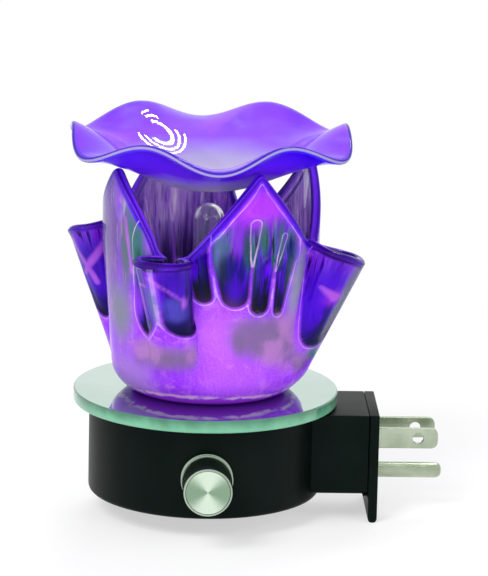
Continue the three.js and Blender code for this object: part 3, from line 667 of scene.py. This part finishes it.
rounds = np.linspace(0, 2 * math.pi, dish_columns, endpoint=False)
inner_steps = np.linspace(first_ring, dish_flat, flat_rows, endpoint=False)
steps = np.r_[inner_steps, np.linspace(dish_flat, dish_radius, slope_rows)]
under = []
for step in steps:
    reach, rise = dish_under(np.full(len(rounds), step), rounds)
    under.append(np.c_[reach * np.cos(rounds), reach * np.sin(rounds), rise])
under = np.array(under)
down = normals(under)
thinned = np.clip((steps - dish_radius + thin_run) / thin_run, 0, 1)[:, None, None] * (dish_wall - rim_wall)
upper = under - down * dish_wall
under = under - down * thinned
edge_out = under[-1] - under[-2]
edge_out = edge_out / np.linalg.norm(edge_out, axis=1, keepdims=True)
under[-1] -= edge_out * rim_wall / 2
upper[-1] -= edge_out * rim_wall / 2
rim_middle = (under[-1] + upper[-1]) / 2
rim_rows = [
    rim_middle + (down[-1] * math.cos(turn) + edge_out * math.sin(turn)) * rim_wall / 2
    for turn in np.linspace(0, math.pi, edge_turns)[1:-1]
]
bottom = np.array([[0.0, 0.0, 0.0]])
points, faces = skin([bottom, *under, *rim_rows, *upper[::-1], bottom + [0, 0, dish_wall]])
points = points + np.array([0, 0, dish_low])
upper_side = np.concatenate(
    [
        np.zeros(1 + under.shape[0] * len(rounds)),
        np.repeat(np.linspace(0.1, 0.9, len(rim_rows)), len(rounds)),
        np.ones(upper.shape[0] * len(rounds) + 1),
    ]
)

dish_glass, flow, shader = finish(
    "violet_dish_glass", {"Transmission Weight": 0.3, "IOR": 1.4, "Specular IOR Level": 0.15}
)
place = flow.place()
radius = place.off_axis((drum_foot.x, 0.0, 0.0), (1.0, 1.0, 0.0)).length()
swirl = place.noise(38.0, 4.0, 0.6)
spread = radius * (1000 / dish_radius) + (swirl - 0.5) * 0.25
top_stops = [
    (0.1, tone(198, 188, 212)),
    (0.4, tone(182, 170, 222)),
    (0.62, tone(156, 86, 250)),
    (0.9, tone(142, 62, 250)),
]
# Painted light: the underside's ramp runs to near white towards the middle, to make up for the shade beneath
# the dish.
under_stops = [
    (0.3, tone(244, 240, 250)),
    (0.46, tone(196, 176, 250)),
    (0.64, tone(108, 34, 255)),
    (0.95, tone(58, 0, 250)),
]
top_colour = spread.ramp(top_stops)
under_colour = spread.ramp(under_stops)
side = flow.node("ShaderNodeAttribute", {"attribute_name": "upper_side"}, {}, "Fac")
on_top = side.between(0.7, 0.95)
coloured = on_top.mix(under_colour, top_colour)
# Painted reflection: pale lavender streaks on the dish's upper side.
coloured = (swirl.between(0.48, 0.72) * on_top * 0.45).mix(coloured, tone(186, 160, 236))
drift = place.noise(26.0, 3.0, 0.9)
coloured = (drift.between(0.5, 0.66) * spread.between(0.5, 0.9) * 0.5).mix(coloured, tone(104, 44, 246))
# Painted highlight: pink clouds on the dish's upper side, where the drift is low.
coloured = ((1 - drift.between(0.34, 0.46)) * on_top * 0.4).mix(coloured, tone(196, 104, 250))
pale_line = side.between(0.2, 0.4) * (1 - side.between(0.5, 0.65))
dark_line = side.between(0.55, 0.7) * (1 - side.between(0.85, 0.98))
coloured = (pale_line * 0.9).mix(coloured, tone(176, 166, 178))
(dark_line * 0.8).mix(coloured, tone(40, 34, 130)).into(shader, "Base Color")
(0.014 + 0.05 * swirl.between(0.5, 0.8)).into(shader, "Roughness")
dish = build("ruffled_dish", (points, faces), [dish_glass], "dish", ["oil_dish"], all_smooth)
dish.data.attributes.new("upper_side", "FLOAT", "POINT").data.foreach_set("value", upper_side)


# Shade: violet art glass, blown as a cup and folded by hand into four open lobes with a tall peak between
# each two. Clear finger-shaped hollows are pressed into it, and its rim is fire polished.
# It stands on the mirror, round the collar.
peaks = [20, 115, 206, 295]
# Each lobe: its angle, its reach, the height of its lip, the lip's tilt, and the height of its neck.
lobes = [(66, 46, 44, 0, 50), (157, 46, 45.5, 1.6, 50), (247, 46, 48.2, 0, 47), (338, 49.5, 44.5, -1.8, 50)]
# Slopes that rise fuller than straight, by lobe and peak, and the power of their curve.
full_slopes = {(0, 115): 0.42, (2, 206): 0.7}
shade_wall = 3.0
foot_radius = 20.6
heel_radius = 9.0
panel_radius = 31.6
wall_shift = 0.8
half_lobe = 8.0
lip_pull = np.array([5, 0])
neck_angle = math.radians(8)
neck_pull = 5.5
peak_lift = 0.7
foot_hole = 11.9
lip_steps, side_steps, panel_steps = 10, 15, 34
lobe_steps = lip_steps + side_steps
heel_steps = 9
wall_steps = 84
rim_steps = 9


def peak_height(angle):
    """A peak's tip, just under the dish that rests on its inner edge."""
    inner = panel_radius - shade_wall / 2
    x = inner * math.cos(math.radians(angle)) + wall_shift
    y = inner * math.sin(math.radians(angle))
    return dish_rest + dish_under(math.hypot(x, y), math.atan2(y, x))[1] + peak_lift


def half_fold(number, peak):
    """Half a fold, from a lobe's lip to a peak: folded places, angles on the cup, rims and fold numbers."""
    lobe, reach, lip, tilt, neck_height = lobes[number]
    turn = math.copysign(1, peak - lobe)
    span = math.radians(abs(peak - lobe))
    middle = reach - half_lobe
    turned_in = np.linspace(0, math.pi / 2, lip_steps, endpoint=False)
    share = np.linspace(0, 1, side_steps, endpoint=False)[:, None]
    sweep = np.linspace(neck_angle, span, panel_steps + 1)
    joint = panel_radius * np.array([math.cos(neck_angle), math.sin(neck_angle)])
    lip_end = np.array([middle, half_lobe])
    pull = joint + neck_pull * np.array([math.sin(neck_angle), -math.cos(neck_angle)])
    side = (
        (1 - share) ** 3 * lip_end
        + 3 * (1 - share) ** 2 * share * (lip_end - lip_pull)
        + 3 * (1 - share) * share**2 * pull
        + share**3 * joint
    )
    plan = np.r_[
        np.c_[middle + half_lobe * np.cos(turned_in), half_lobe * np.sin(turned_in)],
        side,
        panel_radius * np.c_[np.cos(sweep), np.sin(sweep)],
    ]
    count = np.arange(len(plan))
    in_lobe = np.minimum(1, count / lobe_steps)
    in_panel = np.maximum(0, (count - lobe_steps) / panel_steps)
    start = math.radians(lobe)
    x, y = plan[:, 0], turn * plan[:, 1]
    folded = np.c_[x * math.cos(start) - y * math.sin(start), x * math.sin(start) + y * math.cos(start)]
    around = start + turn * span * (in_lobe + in_panel) / 2
    rim = lip + (neck_height - lip) * in_lobe + turn * tilt * np.sin(math.pi * in_lobe)
    rim = rim + (peak_height(peak) - neck_height) * in_panel ** full_slopes.get((number, peak), 1)
    return folded, around, rim, number + turn * (in_lobe + in_panel) / 4


halves = []
for number in range(4):
    after = peaks[number + 1] if number < 3 else peaks[0] + 360
    halves.append([row[::-1][:-1] for row in half_fold(number, peaks[number])])
    halves.append([row[:-1] for row in half_fold(number, after)])
folded, around, rim, fold = (np.concatenate([half[k] for half in halves]) for k in range(4))
melted = np.array([1, 3, 5, 6, 5, 3, 1]) / 24
rim = sum(weight * np.roll(rim, shift) for weight, shift in zip(melted, range(-3, 4)))
polish = 1.1
draw_start = 4.5
draw_run = 42.5


def wall_place(radius, height):
    """The middle of the wall at a height: the round cup below, drawn out into the folds above."""
    drawn = np.clip((height - draw_start) / draw_run, 0, 1)[:, None]
    cup = radius * np.c_[np.cos(around), np.sin(around)]
    place = cup * (1 - drawn) + folded * drawn
    return np.c_[place[:, 0] + wall_shift, place[:, 1], height]


columns = len(around)
half_wall = shade_wall / 2
heel = heel_radius - half_wall
wall_rows = [
    np.c_[hole * np.cos(around) + wall_shift * share, hole * np.sin(around), np.full(columns, half_wall)]
    for hole, share in ((foot_hole, 0), (foot_hole + 3, 0.4), (foot_hole + 6, 0.8))
]
for turn in np.linspace(-math.pi / 2, 0, heel_steps):
    level = np.full(columns, heel_radius + heel * math.sin(turn))
    wall_rows.append(wall_place(foot_radius + heel * math.cos(turn), level))
for share in np.linspace(0, 1, wall_steps)[1:]:
    wall_rows.append(wall_place(foot_radius + heel, heel_radius + (rim - polish - heel_radius) * share))
middle = np.array(wall_rows)
out = normals(middle)
across = np.tile(fold, (len(middle), 1))
height = middle[:, :, 2]
fold_length = 64.0


def sideways(fold_number):
    """Distance along the wall from a place given by its fold number, the short way round."""
    return ((across - fold_number + 2) % 4 - 2) * fold_length


def within(foot, head):
    """How deep points lie in a finger-shaped hollow between two round ends (fold number, height, radius)."""
    run = np.array([(head[0] - foot[0]) * fold_length, head[1] - foot[1]])
    x, y = sideways(foot[0]), height - foot[1]
    share = np.clip((x * run[0] + y * run[1]) / run.dot(run), 0, 1)
    return foot[2] + (head[2] - foot[2]) * share - np.hypot(x - share * run[0], y - share * run[1])


arch_half = 11.4
arch_shift = 0.012
arch_low = 45


def arch(panel):
    """How deep points lie in the field under a peak's border, where its three fingers run together."""
    half_width = arch_half - np.abs(sideways(panel + arch_shift))
    return np.minimum(np.minimum(edge - peak_border, half_width), height - arch_low)


rim_slope = np.abs(np.gradient(rim)) / np.maximum(np.linalg.norm(np.gradient(folded, axis=0), axis=1), 0.05)
edge = (rim[None, :] - height) / np.sqrt(1 + rim_slope**2)[None, :]
peak_border = 3.0
# Fold numbers run from 0 to 4 round the shade: a lobe at each whole number and a peak at each half.
fingered = (-0.5, 0.5, 2.5)
# Fingers, hollows, hairpins, creases and patches run between two round ends (fold number, height, radius).
panel_fingers = [
    ((-0.09, 35.8, 3.8), (-0.096, 50.0, 4.8)),
    ((0.013, 32.4, 3.1), (0.025, 50.0, 3.2)),
    ((0.113, 30.6, 2.1), (0.125, 50.0, 3.8)),
]
hollows = [
    *[[(u + panel, z, r) for u, z, r in finger] for panel in fingered for finger in panel_fingers],
    [(2.292, 36.0, 2.6), (2.285, 54.0, 3.0)],
    [(2.94, 22.4, 5.0), (2.905, 44.0, 6.0)],
    [(3.1, 24.0, 5.0), (3.1, 43.0, 6.0)],
    [(1.822, 31.0, 10.6), (1.812, 50.0, 11.2)],
    [(2.09, 29.6, 5.6), (2.1, 50.0, 6.2)],
    [(1.12, 25.5, 5.4), (1.12, 42.0, 7.0)],
    [(0.89, 25.0, 5.4), (0.89, 42.0, 6.4)],
    [(0.11, 25.0, 5.4), (0.11, 42.0, 6.4)],
    [(-0.11, 24.0, 5.4), (-0.11, 42.0, 6.4)],
]
each = np.array([*[within(foot, head) for foot, head in hollows], *[arch(panel) for panel in fingered]])
depth = each.max(axis=0)
field_foot = 30.0
climb_run = 30
feet = np.array([*[foot[1] - foot[2] for foot, head in hollows], *[field_foot for panel in fingered]])
climb = (height - feet[each.argmax(axis=0)]) / climb_run
hairpins = [
    [(u + panel, z, r) for u, z, r in ends]
    for panel in fingered
    for ends in (((-0.026, 45.0, 0.1), (-0.012, 57.5, 1.2)), ((0.075, 43.0, 0.1), (0.118, 53.0, 0.7)))
]
creases = [
    [(1.985, 44.0, 0.1), (2.06, 36.6, 0.2)],
    [(1.9, 40.0, 0.1), (1.97, 40.8, 0.2)],
    [(1.03, 43.0, 0.2), (1.10, 31.0, 0.6)],
    [(1.17, 44.0, 0.6), (1.05, 33.0, 0.3)],
    [(2.9, 37.0, 0.2), (2.955, 33.5, 1.0)],
    [(0.05, 40.0, 0.3), (0.12, 32.0, 0.8)],
    [(1.585, 57.0, 0.2), (1.63, 41.0, 0.3)],
]
patches = [
    [(2.47, 23.0, 6.4), (2.64, 21.5, 7.0)],
    [(2.64, 19.5, 6.0), (2.88, 13.5, 3.0)],
    [(1.72, 16.0, 3.6), (2.1, 17.0, 3.4)],
    [(0.3, 19.0, 4.0), (0.7, 18.0, 4.0)],
    [(3.3, 18.0, 4.0), (3.62, 20.0, 4.0)],
]
hairpin, crease, patch = (
    np.max([within(foot, head) for foot, head in drawn], axis=0) for drawn in (hairpins, creases, patches)
)
press_depth = 0.75
press_width = 1.8
press_margin = 1
pressed = np.clip(depth / press_width, 0, 1)
pressed = pressed * pressed * (3 - 2 * pressed) * np.clip(edge - press_margin, 0, 1)
outer = middle + out * (half_wall - press_depth * pressed)[:, :, None]
inner = middle - out * half_wall
lift = np.array([0, 0, 1.0])
rim_rows = [
    middle[-1] + out[-1] * math.cos(turn) * half_wall + lift * math.sin(turn) * polish
    for turn in np.linspace(0, math.pi, rim_steps)[1:-1]
]
foot_gap = 0.1
points, faces = skin([*outer, *rim_rows, *inner[::-1]])
points = points + np.array([0, 0, mirror_top + foot_gap])

smoke = tone(154, 164, 162)
lilac = tone(162, 122, 206)
mauve = tone(154, 118, 178)
heather = tone(128, 96, 172)
pewter = tone(124, 134, 138)
pink = tone(208, 114, 248)
orchid = tone(184, 60, 247)
violet = tone(144, 58, 234)
royal = tone(84, 0, 238)
deep_violet = tone(67, 4, 196)
indigo = tone(20, 8, 115)
periwinkle = tone(90, 84, 203)
slate_blue = tone(98, 120, 168)
sea_green = tone(42, 118, 84)
bottle_green = tone(28, 88, 44)
ink = tone(20, 28, 58)
ash = tone(82, 80, 102)
# Soft spots of colour: fold number, height, half width in folds, half height, colour and strength.
clear_patches = [
    (1.34, 48.0, 0.1, 22.0, pewter, 0.95),
    (1.48, 52.0, 0.08, 19.0, heather, 0.9),
    (1.59, 50.0, 0.035, 16.0, pewter, 0.95),
    (2.99, 33.0, 0.02, 16.0, smoke, 0.95),
    (3.5, 56.0, 0.2, 14.0, lilac, 0.85),
    (0.5, 56.0, 0.2, 14.0, lilac, 0.85),
]
# Stains of colour in the glass, with two painted highlights among them.
stains_and_highlights = [
    (2.5, 62.0, 0.13, 6.0, orchid, 0.9),
    (2.42, 53.0, 0.025, 6.0, violet, 0.8),
    (2.36, 50.0, 0.02, 7.0, slate_blue, 0.8),
    (2.457, 50.0, 0.016, 6.0, bottle_green, 0.85),
    (2.52, 53.0, 0.022, 5.0, sea_green, 0.85),
    (2.6, 51.5, 0.02, 6.0, sea_green, 0.85),
    (2.655, 48.0, 0.025, 6.0, indigo, 0.8),
    (2.41, 44.5, 0.035, 4.5, indigo, 0.85),
    (2.37, 43.5, 0.018, 5.0, ink, 0.8),
    (2.413, 37.5, 0.035, 3.5, deep_violet, 0.8),
    # Painted highlight: these two pink spots brighten the lower front of the body, where the light falls.
    (2.34, 23.0, 0.13, 9.0, pink, 0.6),
    (2.4, 10.0, 0.25, 7.0, pink, 0.4),
    (1.64, 50.0, 0.055, 11.0, sea_green, 0.95),
    (1.53, 27.0, 0.115, 10.0, pewter, 0.95),
    (1.9, 18.0, 0.25, 3.6, mauve, 0.8),
    (2.63, 21.5, 0.17, 6.0, mauve, 0.75),
    (1.62, 8.0, 0.24, 8.0, lilac, 0.85),
    (2.965, 15.5, 0.05, 2.4, sea_green, 0.9),
    (2.9, 12.0, 0.06, 2.4, ash, 0.75),
    (2.42, 21.0, 0.03, 4.0, ash, 0.6),
    (2.72, 37.0, 0.055, 12.0, smoke, 0.9),
    (2.93, 39.0, 0.03, 3.5, royal, 0.85),
    (2.94, 33.5, 0.035, 2.6, orchid, 0.85),
    (1.67, 32.0, 0.03, 5.0, violet, 0.85),
    (1.935, 45.0, 0.045, 4.8, deep_violet, 0.95),
    (2.05, 43.5, 0.05, 5.0, deep_violet, 0.95),
    (1.935, 34.5, 0.022, 5.0, violet, 0.9),
    (1.986, 35.0, 0.016, 6.5, slate_blue, 0.9),
    (2.1, 36.0, 0.014, 6.5, ink, 0.9),
    (2.04, 34.8, 0.03, 2.6, periwinkle, 0.85),
    (2.05, 31.4, 0.035, 2.4, periwinkle, 0.85),
    (2.072, 35.2, 0.009, 2.0, pink, 0.95),
    (2.88, 33.5, 0.06, 11.0, royal, 0.85),
    (1.12, 37.0, 0.08, 9.0, deep_violet, 0.8),
]
stain = np.zeros((*across.shape, 4))
spot_falloff = 1.6


def lay(spot):
    """Lays a soft spot over the stains and highlights that are there already, and gives how fully it covers
    each point.
    """
    fold_number, middle_height, half_width, half_height, colour, strength = spot
    x = sideways(fold_number) / (half_width * fold_length)
    y = (height - middle_height) / half_height
    cover = np.exp(-((x**2 + y**2) ** spot_falloff)) * strength
    held = stain[:, :, 3] * (1 - cover)
    total = np.maximum(held + cover, 1e-6)
    old_share, new_share = (held / total)[:, :, None], (cover / total)[:, :, None]
    stain[:, :, :3] = stain[:, :, :3] * old_share + np.array(colour[:3]) * new_share
    stain[:, :, 3] = held + cover
    return cover


for spot in clear_patches:
    lay(spot)
sheer = stain[:, :, 3].copy()
for spot in stains_and_highlights:
    sheer = sheer * (1 - lay(spot))


def over_all(outside, at_rim, inside):
    """Values for every point: outside the wall, over the rim, and inside the wall."""
    rows = [outside, np.broadcast_to(at_rim, (len(rim_rows), *outside.shape[1:])), inside[::-1]]
    return np.concatenate(rows).ravel()


far_off = -9.0
nothing = np.zeros(across.shape)
over_rim = np.linspace(0.1, 0.9, len(rim_rows))[:, None]
lobe = np.cos(2 * math.pi * across)
shade_height = 72
circle = [np.tile(v, (len(middle), 1)) for v in (np.cos(around), np.sin(around))]
run = np.stack([*circle, height / shade_height], axis=2)
outside_only = {"depth": depth, "hairpin": hairpin, "patch": patch, "crease": crease}
shade_values = {
    **{name: over_all(value, far_off, nothing + far_off) for name, value in outside_only.items()},
    "climb": over_all(climb, 1.0, climb),
    "sheer": over_all(sheer, 0.0, sheer),
    "edge": over_all(edge, 0.0, edge),
    "lobe": over_all(lobe, lobe[-1], lobe),
    "inside": over_all(nothing, over_rim, nothing + 1),
}

shade_glass, flow, frosted = finish(
    "violet_art_glass", {"Transmission Weight": 0.2, "IOR": 1.3, "Specular IOR Level": 0.15}
)
clear = flow.node(
    "ShaderNodeBsdfPrincipled", {}, {"Transmission Weight": 0.85, "IOR": 1.45, "Specular IOR Level": 0.2}
).socket.node


def painted(name, output="Fac"):
    """A value laid on the shade's points."""
    return flow.node("ShaderNodeAttribute", {"attribute_name": name}, {}, output)


place = flow.place()
rise = (place.height() - mirror_high.z) * (1 / (shade_height * MM))
swirl = place.noise(60.0, 4.0, 0.8)
fine = place.noise(1800.0, 2.0)
along_wall = painted("run", "Vector")
drawn_out = along_wall.stretched((15.0, 15.0, 1.8))
streak = drawn_out.noise(1.0, 3.0, 0.4)
broad = along_wall.stretched((11.0, 11.0, 4.0))
facet = broad.noise(1.0, 2.0, 1.2)
mottle = place.noise(240.0, 3.0, 0.5)
close = along_wall.stretched((44.0, 44.0, 5.0))
thread = close.noise(1.0, 3.0, 0.3)
body = rise.between(0.34, 0.8).mix(tone(150, 48, 250), tone(116, 16, 240))
body = (thread.between(0.45, 0.7) * 0.2).mix(body, tone(204, 120, 252))
body = (mottle.between(0.5, 0.72) * 0.5).mix(body, tone(214, 128, 248))
body = (swirl.between(0.48, 0.7) * 0.4).mix(body, tone(206, 96, 252))
body = (fine.between(0.4, 0.8) * 0.35).mix(body, tone(202, 112, 252))
depth_of = painted("depth")
edge_of = painted("edge")
lobe_of = painted("lobe")
hollow = depth_of.between(-0.2, 0.9)
shadow_stops = [
    (0.04, tone(6, 10, 14)),
    (0.18, tone(8, 6, 44)),
    (0.34, tone(26, 0, 120)),
    (0.6, tone(36, 0, 140)),
    (0.9, tone(104, 20, 224)),
]
violet_stops = [
    (0.04, tone(8, 8, 20)),
    (0.18, tone(26, 0, 110)),
    (0.34, tone(84, 0, 226)),
    (0.6, tone(104, 0, 250)),
    (0.9, tone(150, 40, 246)),
]
teal_stops = [
    (0.04, tone(6, 16, 16)),
    (0.26, tone(8, 24, 48)),
    (0.48, tone(14, 52, 66)),
    (0.64, tone(36, 112, 84)),
    (0.86, tone(104, 130, 186)),
]
level = painted("climb") + (swirl - 0.5) * 0.2
shadow_run = level.ramp(shadow_stops)
violet_run = level.ramp(violet_stops)
teal_run = level.ramp(teal_stops)
depths = (facet + 0.1 * lobe_of.between(-0.3, 0.4)).between(0.44, 0.58).mix(shadow_run, violet_run)
depths = (streak.between(0.46, 0.6) * (1 - 0.85 * lobe_of.between(-0.3, 0.5))).mix(depths, teal_run)
depths = (thread.between(0.52, 0.66) * level.between(0.14, 0.4) * 0.55).mix(depths, tone(72, 0, 206))
depths = (mottle.between(0.55, 0.7) * level.between(0.3, 0.6) * 0.35).mix(depths, tone(128, 60, 236))
depths = (1 - thread.between(0.34, 0.44)).mix(depths, tone(14, 10, 60))
faded = 1 - (level - 0.86).between(0.0, 0.16)
colour = (hollow * faded).mix(body, depths)
colour = (painted("stain", "Alpha") * (0.95 + 0.5 * (fine - 0.5))).mix(colour, painted("stain", "Color"))
# Painted glints: pale streaks over the clear patches, in the lower middle of the wall.
painted_glint_streaks = painted("sheer").between(0.3, 0.9) * thread.between(0.56, 0.68) * rise.between(0.3, 0.6)
colour = (painted_glint_streaks * 0.6).mix(colour, tone(226, 222, 236))
speckled = (painted("patch") + (swirl - 0.5) * 5.0 + (fine - 0.5) * 7.0).between(-3.2, 3.0)
colour = (speckled * 0.85).mix(colour, swirl.between(0.4, 0.62).mix(tone(120, 100, 138), tone(176, 122, 190)))
caught = (painted("crease") + (swirl - 0.5) * 1.6).between(-0.8, 0.3) * 0.75
colour = caught.mix(colour, tone(206, 104, 250))
colour = (lobe_of.between(-0.1, 0.5) * hollow * 0.28).mix(colour, tone(20, 0, 96))
rim_band = 1 - edge_of.between(1.6, 2.6)
rim_stops = [
    (0.08, tone(112, 40, 240)),
    (0.3, tone(46, 0, 136)),
    (0.5, tone(76, 0, 226)),
    (0.95, tone(64, 0, 196)),
]
rim_layers = (edge_of * 0.34 + (swirl - 0.5) * 0.3).ramp(rim_stops)
lip_colour = swirl.between(0.4, 0.62).mix(tone(18, 0, 62), tone(80, 16, 190))
rim_colour = (lobe_of.between(0.1, 0.6) * 0.85).mix(rim_layers, lip_colour)
colour = (rim_band * 0.95).mix(colour, rim_colour)
wobbled = depth_of + (swirl - 0.5) * 0.9
line = wobbled.between(-0.5, -0.35) * (1 - wobbled.between(-0.25, -0.05))
hooked = painted("hairpin") + (swirl - 0.5) * 0.7
loop = hooked.between(-0.4, -0.2) * (1 - hooked.between(-0.05, 0.2))
pale = line.larger(loop)
shown = 0.2 + 0.3 * swirl.between(0.35, 0.65) + 0.3 * mottle.between(0.42, 0.58)
shown = shown * (1 - 0.35 * lobe_of.between(-0.2, 0.3))
colour = (pale * shown).mix(colour, tone(228, 196, 250))
# Painted light: the heel's bottom is painted a lighter violet, where it stands in shade over the mirror.
low = rise + (swirl - 0.5) * 0.08 + (mottle - 0.5) * 0.02
colour = (1 - low.between(0.02, 0.05)).mix(colour, tone(176, 60, 250))
# Painted highlight: a broken pale pink line along the foot.
painted_foot_highlight = low.between(0.028, 0.036) * (1 - low.between(0.042, 0.052)) * mottle.between(0.34, 0.56)
colour = (painted_foot_highlight * 0.85).mix(colour, tone(238, 190, 246))
inner_colour = streak.between(0.35, 0.65).mix(tone(186, 150, 212), tone(112, 50, 190))
inner_colour = (1 - thread.between(0.36, 0.5)).mix(inner_colour, tone(70, 24, 140))
inner_colour = (thread.between(0.58, 0.7) * 0.6).mix(inner_colour, tone(214, 206, 226))
inner_colour = (rise.between(0.72, 0.95) * 0.55).mix(inner_colour, tone(216, 202, 248))
deep_inside = rim_band.larger(lobe_of.between(-0.2, 0.5))
inner_colour = (deep_inside * 0.85).mix(inner_colour, tone(40, 0, 132))
on_inside = painted("inside").between(0.55, 0.9)
colour = on_inside.mix(colour, inner_colour)
# A darker line runs along the rim's rounding.
over_edge = painted("inside") + (swirl - 0.5) * 0.25
dark_rim_line = over_edge.between(0.12, 0.24) * (1 - over_edge.between(0.34, 0.46))
colour = (dark_rim_line * 0.75).mix(colour, tone(40, 0, 112))
# Painted highlight: a lighter violet line along the rim's rounding.
painted_rim_highlight = over_edge.between(0.5, 0.58) * (1 - over_edge.between(0.66, 0.74))
colour = (painted_rim_highlight * swirl.between(0.38, 0.6) * 0.6).mix(colour, tone(150, 70, 250))
gloss = 0.03 + 0.06 * swirl.between(0.5, 0.8)
for shader in (frosted, clear):
    colour.into(shader, "Base Color")
    gloss.into(shader, "Roughness")
window = 0.4 * hollow * faded * level.between(0.4, 0.75) * (1 - 0.75 * lobe_of.between(-0.3, 0.4))
clearness = window.larger(on_inside).larger(painted("sheer") * 0.7)
glasses = {0: clearness, 1: flow.out_of(frosted, "BSDF"), 2: flow.out_of(clear, "BSDF")}
flow.node("ShaderNodeMixShader", {}, glasses).into(flow.tree.nodes["Material Output"], "Surface")
folds = points, faces
shade = build("folded_shade", folds, [shade_glass], "shade", ["glass_shade"], all_smooth)
layers = shade.data.attributes
for name, values in shade_values.items():
    layers.new(name, "FLOAT", "POINT").data.foreach_set("value", values)
layers.new("run", "FLOAT_VECTOR", "POINT").data.foreach_set("vector", over_all(run, run[-1], run))
layers.new("stain", "FLOAT_COLOR", "POINT").data.foreach_set("color", over_all(stain, stain[-1], stain))


# Studio: a wide pale floor under the plate's tab, soft lamps and a white surround.
# The floor keeps a faint shadow near the object and fades to plain white away from it.
floor_height = cad_box[0][2]
floor_half = 6
plain_white = (1.0, 1.0, 1.0, 1.0)
paper_white = (0.9, 0.9, 0.9, 1.0)
dull = {"Base Color": paper_white, "Roughness": 0.9, "Specular IOR Level": 0.0}
paper, flow, shader = finish("studio_floor", dull)


def plainly_seen(flow):
    """1 for what is seen straight, in a gloss or through glass, and 0 for what only lights the object."""
    straight = flow.node("ShaderNodeLightPath", {}, {}, "Is Camera Ray")
    path = straight.socket.node
    mirrored = flow.out_of(path, "Is Glossy Ray")
    return straight.larger(mirrored).larger(flow.out_of(path, "Is Transmission Ray"))


distance = flow.place().length()
share = plainly_seen(flow) * (0.55 + 0.45 * distance.between(0.08, 0.3))
white = flow.node("ShaderNodeEmission", {}, {"Color": plain_white, "Strength": 1.0})
blend = {0: share, 1: flow.out_of(shader, "BSDF"), 2: white}
flow.node("ShaderNodeMixShader", {}, blend).into(flow.tree.nodes["Material Output"], "Surface")
corners = [(x * floor_half, y * floor_half, 0) for x, y in ((-1, -1), (1, -1), (1, 1), (-1, 1))]
floor_mesh = bpy.data.meshes.new("studio_floor")
floor_mesh.from_pydata(corners, [], [(0, 1, 2, 3)])
floor_mesh.materials.append(paper)
floor = bpy.data.objects.new("studio_floor", floor_mesh)
floor.location = (drum_foot.x, 0, floor_height)
bpy.context.scene.collection.objects.link(floor)

world = bpy.data.worlds.new("studio")
bpy.context.scene.world = world
world.use_nodes = True
surround = world.node_tree.nodes["Background"]
surround.inputs["Color"].default_value = plain_white
(0.5 + 0.5 * plainly_seen(Flow(world.node_tree))).into(surround, "Strength")


def lamp(name, place, size, power, seen_in_gloss):
    """A soft lamp that faces the middle of the object; only a window shows in the glass."""
    light = bpy.data.lights.new(name, "AREA")
    light.shape = "RECTANGLE"
    light.size, light.size_y = size
    light.energy = power
    lamp_object = bpy.data.objects.new(name, light)
    aim = drum_foot + Vector((0, 0, 0.05))
    lamp_object.location = aim + Vector(place)
    lamp_object.rotation_euler = (aim - lamp_object.location).to_track_quat("-Z", "Y").to_euler()
    lamp_object.visible_glossy = seen_in_gloss
    lamp_object.visible_diffuse = not seen_in_gloss
    bpy.context.scene.collection.objects.link(lamp_object)


lamp("key_lamp", (-0.5, -0.7, 0.8), (0.5, 0.5), 9.0, False)
lamp("fill_lamp", (0.8, -0.6, 0.4), (0.7, 0.7), 4.0, False)
lamp("back_lamp", (0.2, 0.8, 0.7), (0.6, 0.6), 6.0, False)
lamp("low_lamp", (-0.1, -1.0, 0.0), (0.9, 0.3), 4.0, False)
for pane, aside in enumerate((0.24, 0.3, 0.36)):
    lamp(f"window_pane_{pane}", (aside, 0.45, 0.8), (0.02, 0.2), 0.9, True)


# Camera: a long lens, a little above the object and almost square to its front.
# Its place, turn and length of lens are fitted so that the render lies over the photo.
elevation = math.radians(13.9)
swing = math.radians(1.5)
roll = math.radians(1.13)
standoff = 1.18
focal_pixels = 3859.0
look_at = drum_foot + Vector((0, 0, 0.051))
look_pixel = (206.7, 326.6)
frame_size = (488, 576)
back = Vector((-math.sin(swing), -math.cos(swing), math.tan(elevation))) * math.cos(elevation)
right = Vector((math.cos(swing), -math.sin(swing), 0))
up = back.cross(right)
right, up = right * math.cos(roll) + up * math.sin(roll), up * math.cos(roll) - right * math.sin(roll)
aim = (
    -back * focal_pixels
    + right * (frame_size[0] / 2 - look_pixel[0])
    + up * (look_pixel[1] - frame_size[1] / 2)
).normalized()
right = (right - aim * right.dot(aim)).normalized()
up = right.cross(aim)
camera = bpy.data.objects.new("camera", bpy.data.cameras.new("camera"))
camera.data.sensor_width = 36.0
camera.data.lens = focal_pixels * camera.data.sensor_width / max(frame_size)
camera.data.clip_start = 0.05
camera.data.clip_end = 50
turned_to = Matrix((right, up, -aim)).transposed().to_4x4()
camera.matrix_world = Matrix.Translation(look_at + back * standoff) @ turned_to
bpy.context.scene.collection.objects.link(camera)
bpy.context.scene.camera = camera
bpy.context.scene.view_settings.view_transform = "Standard"
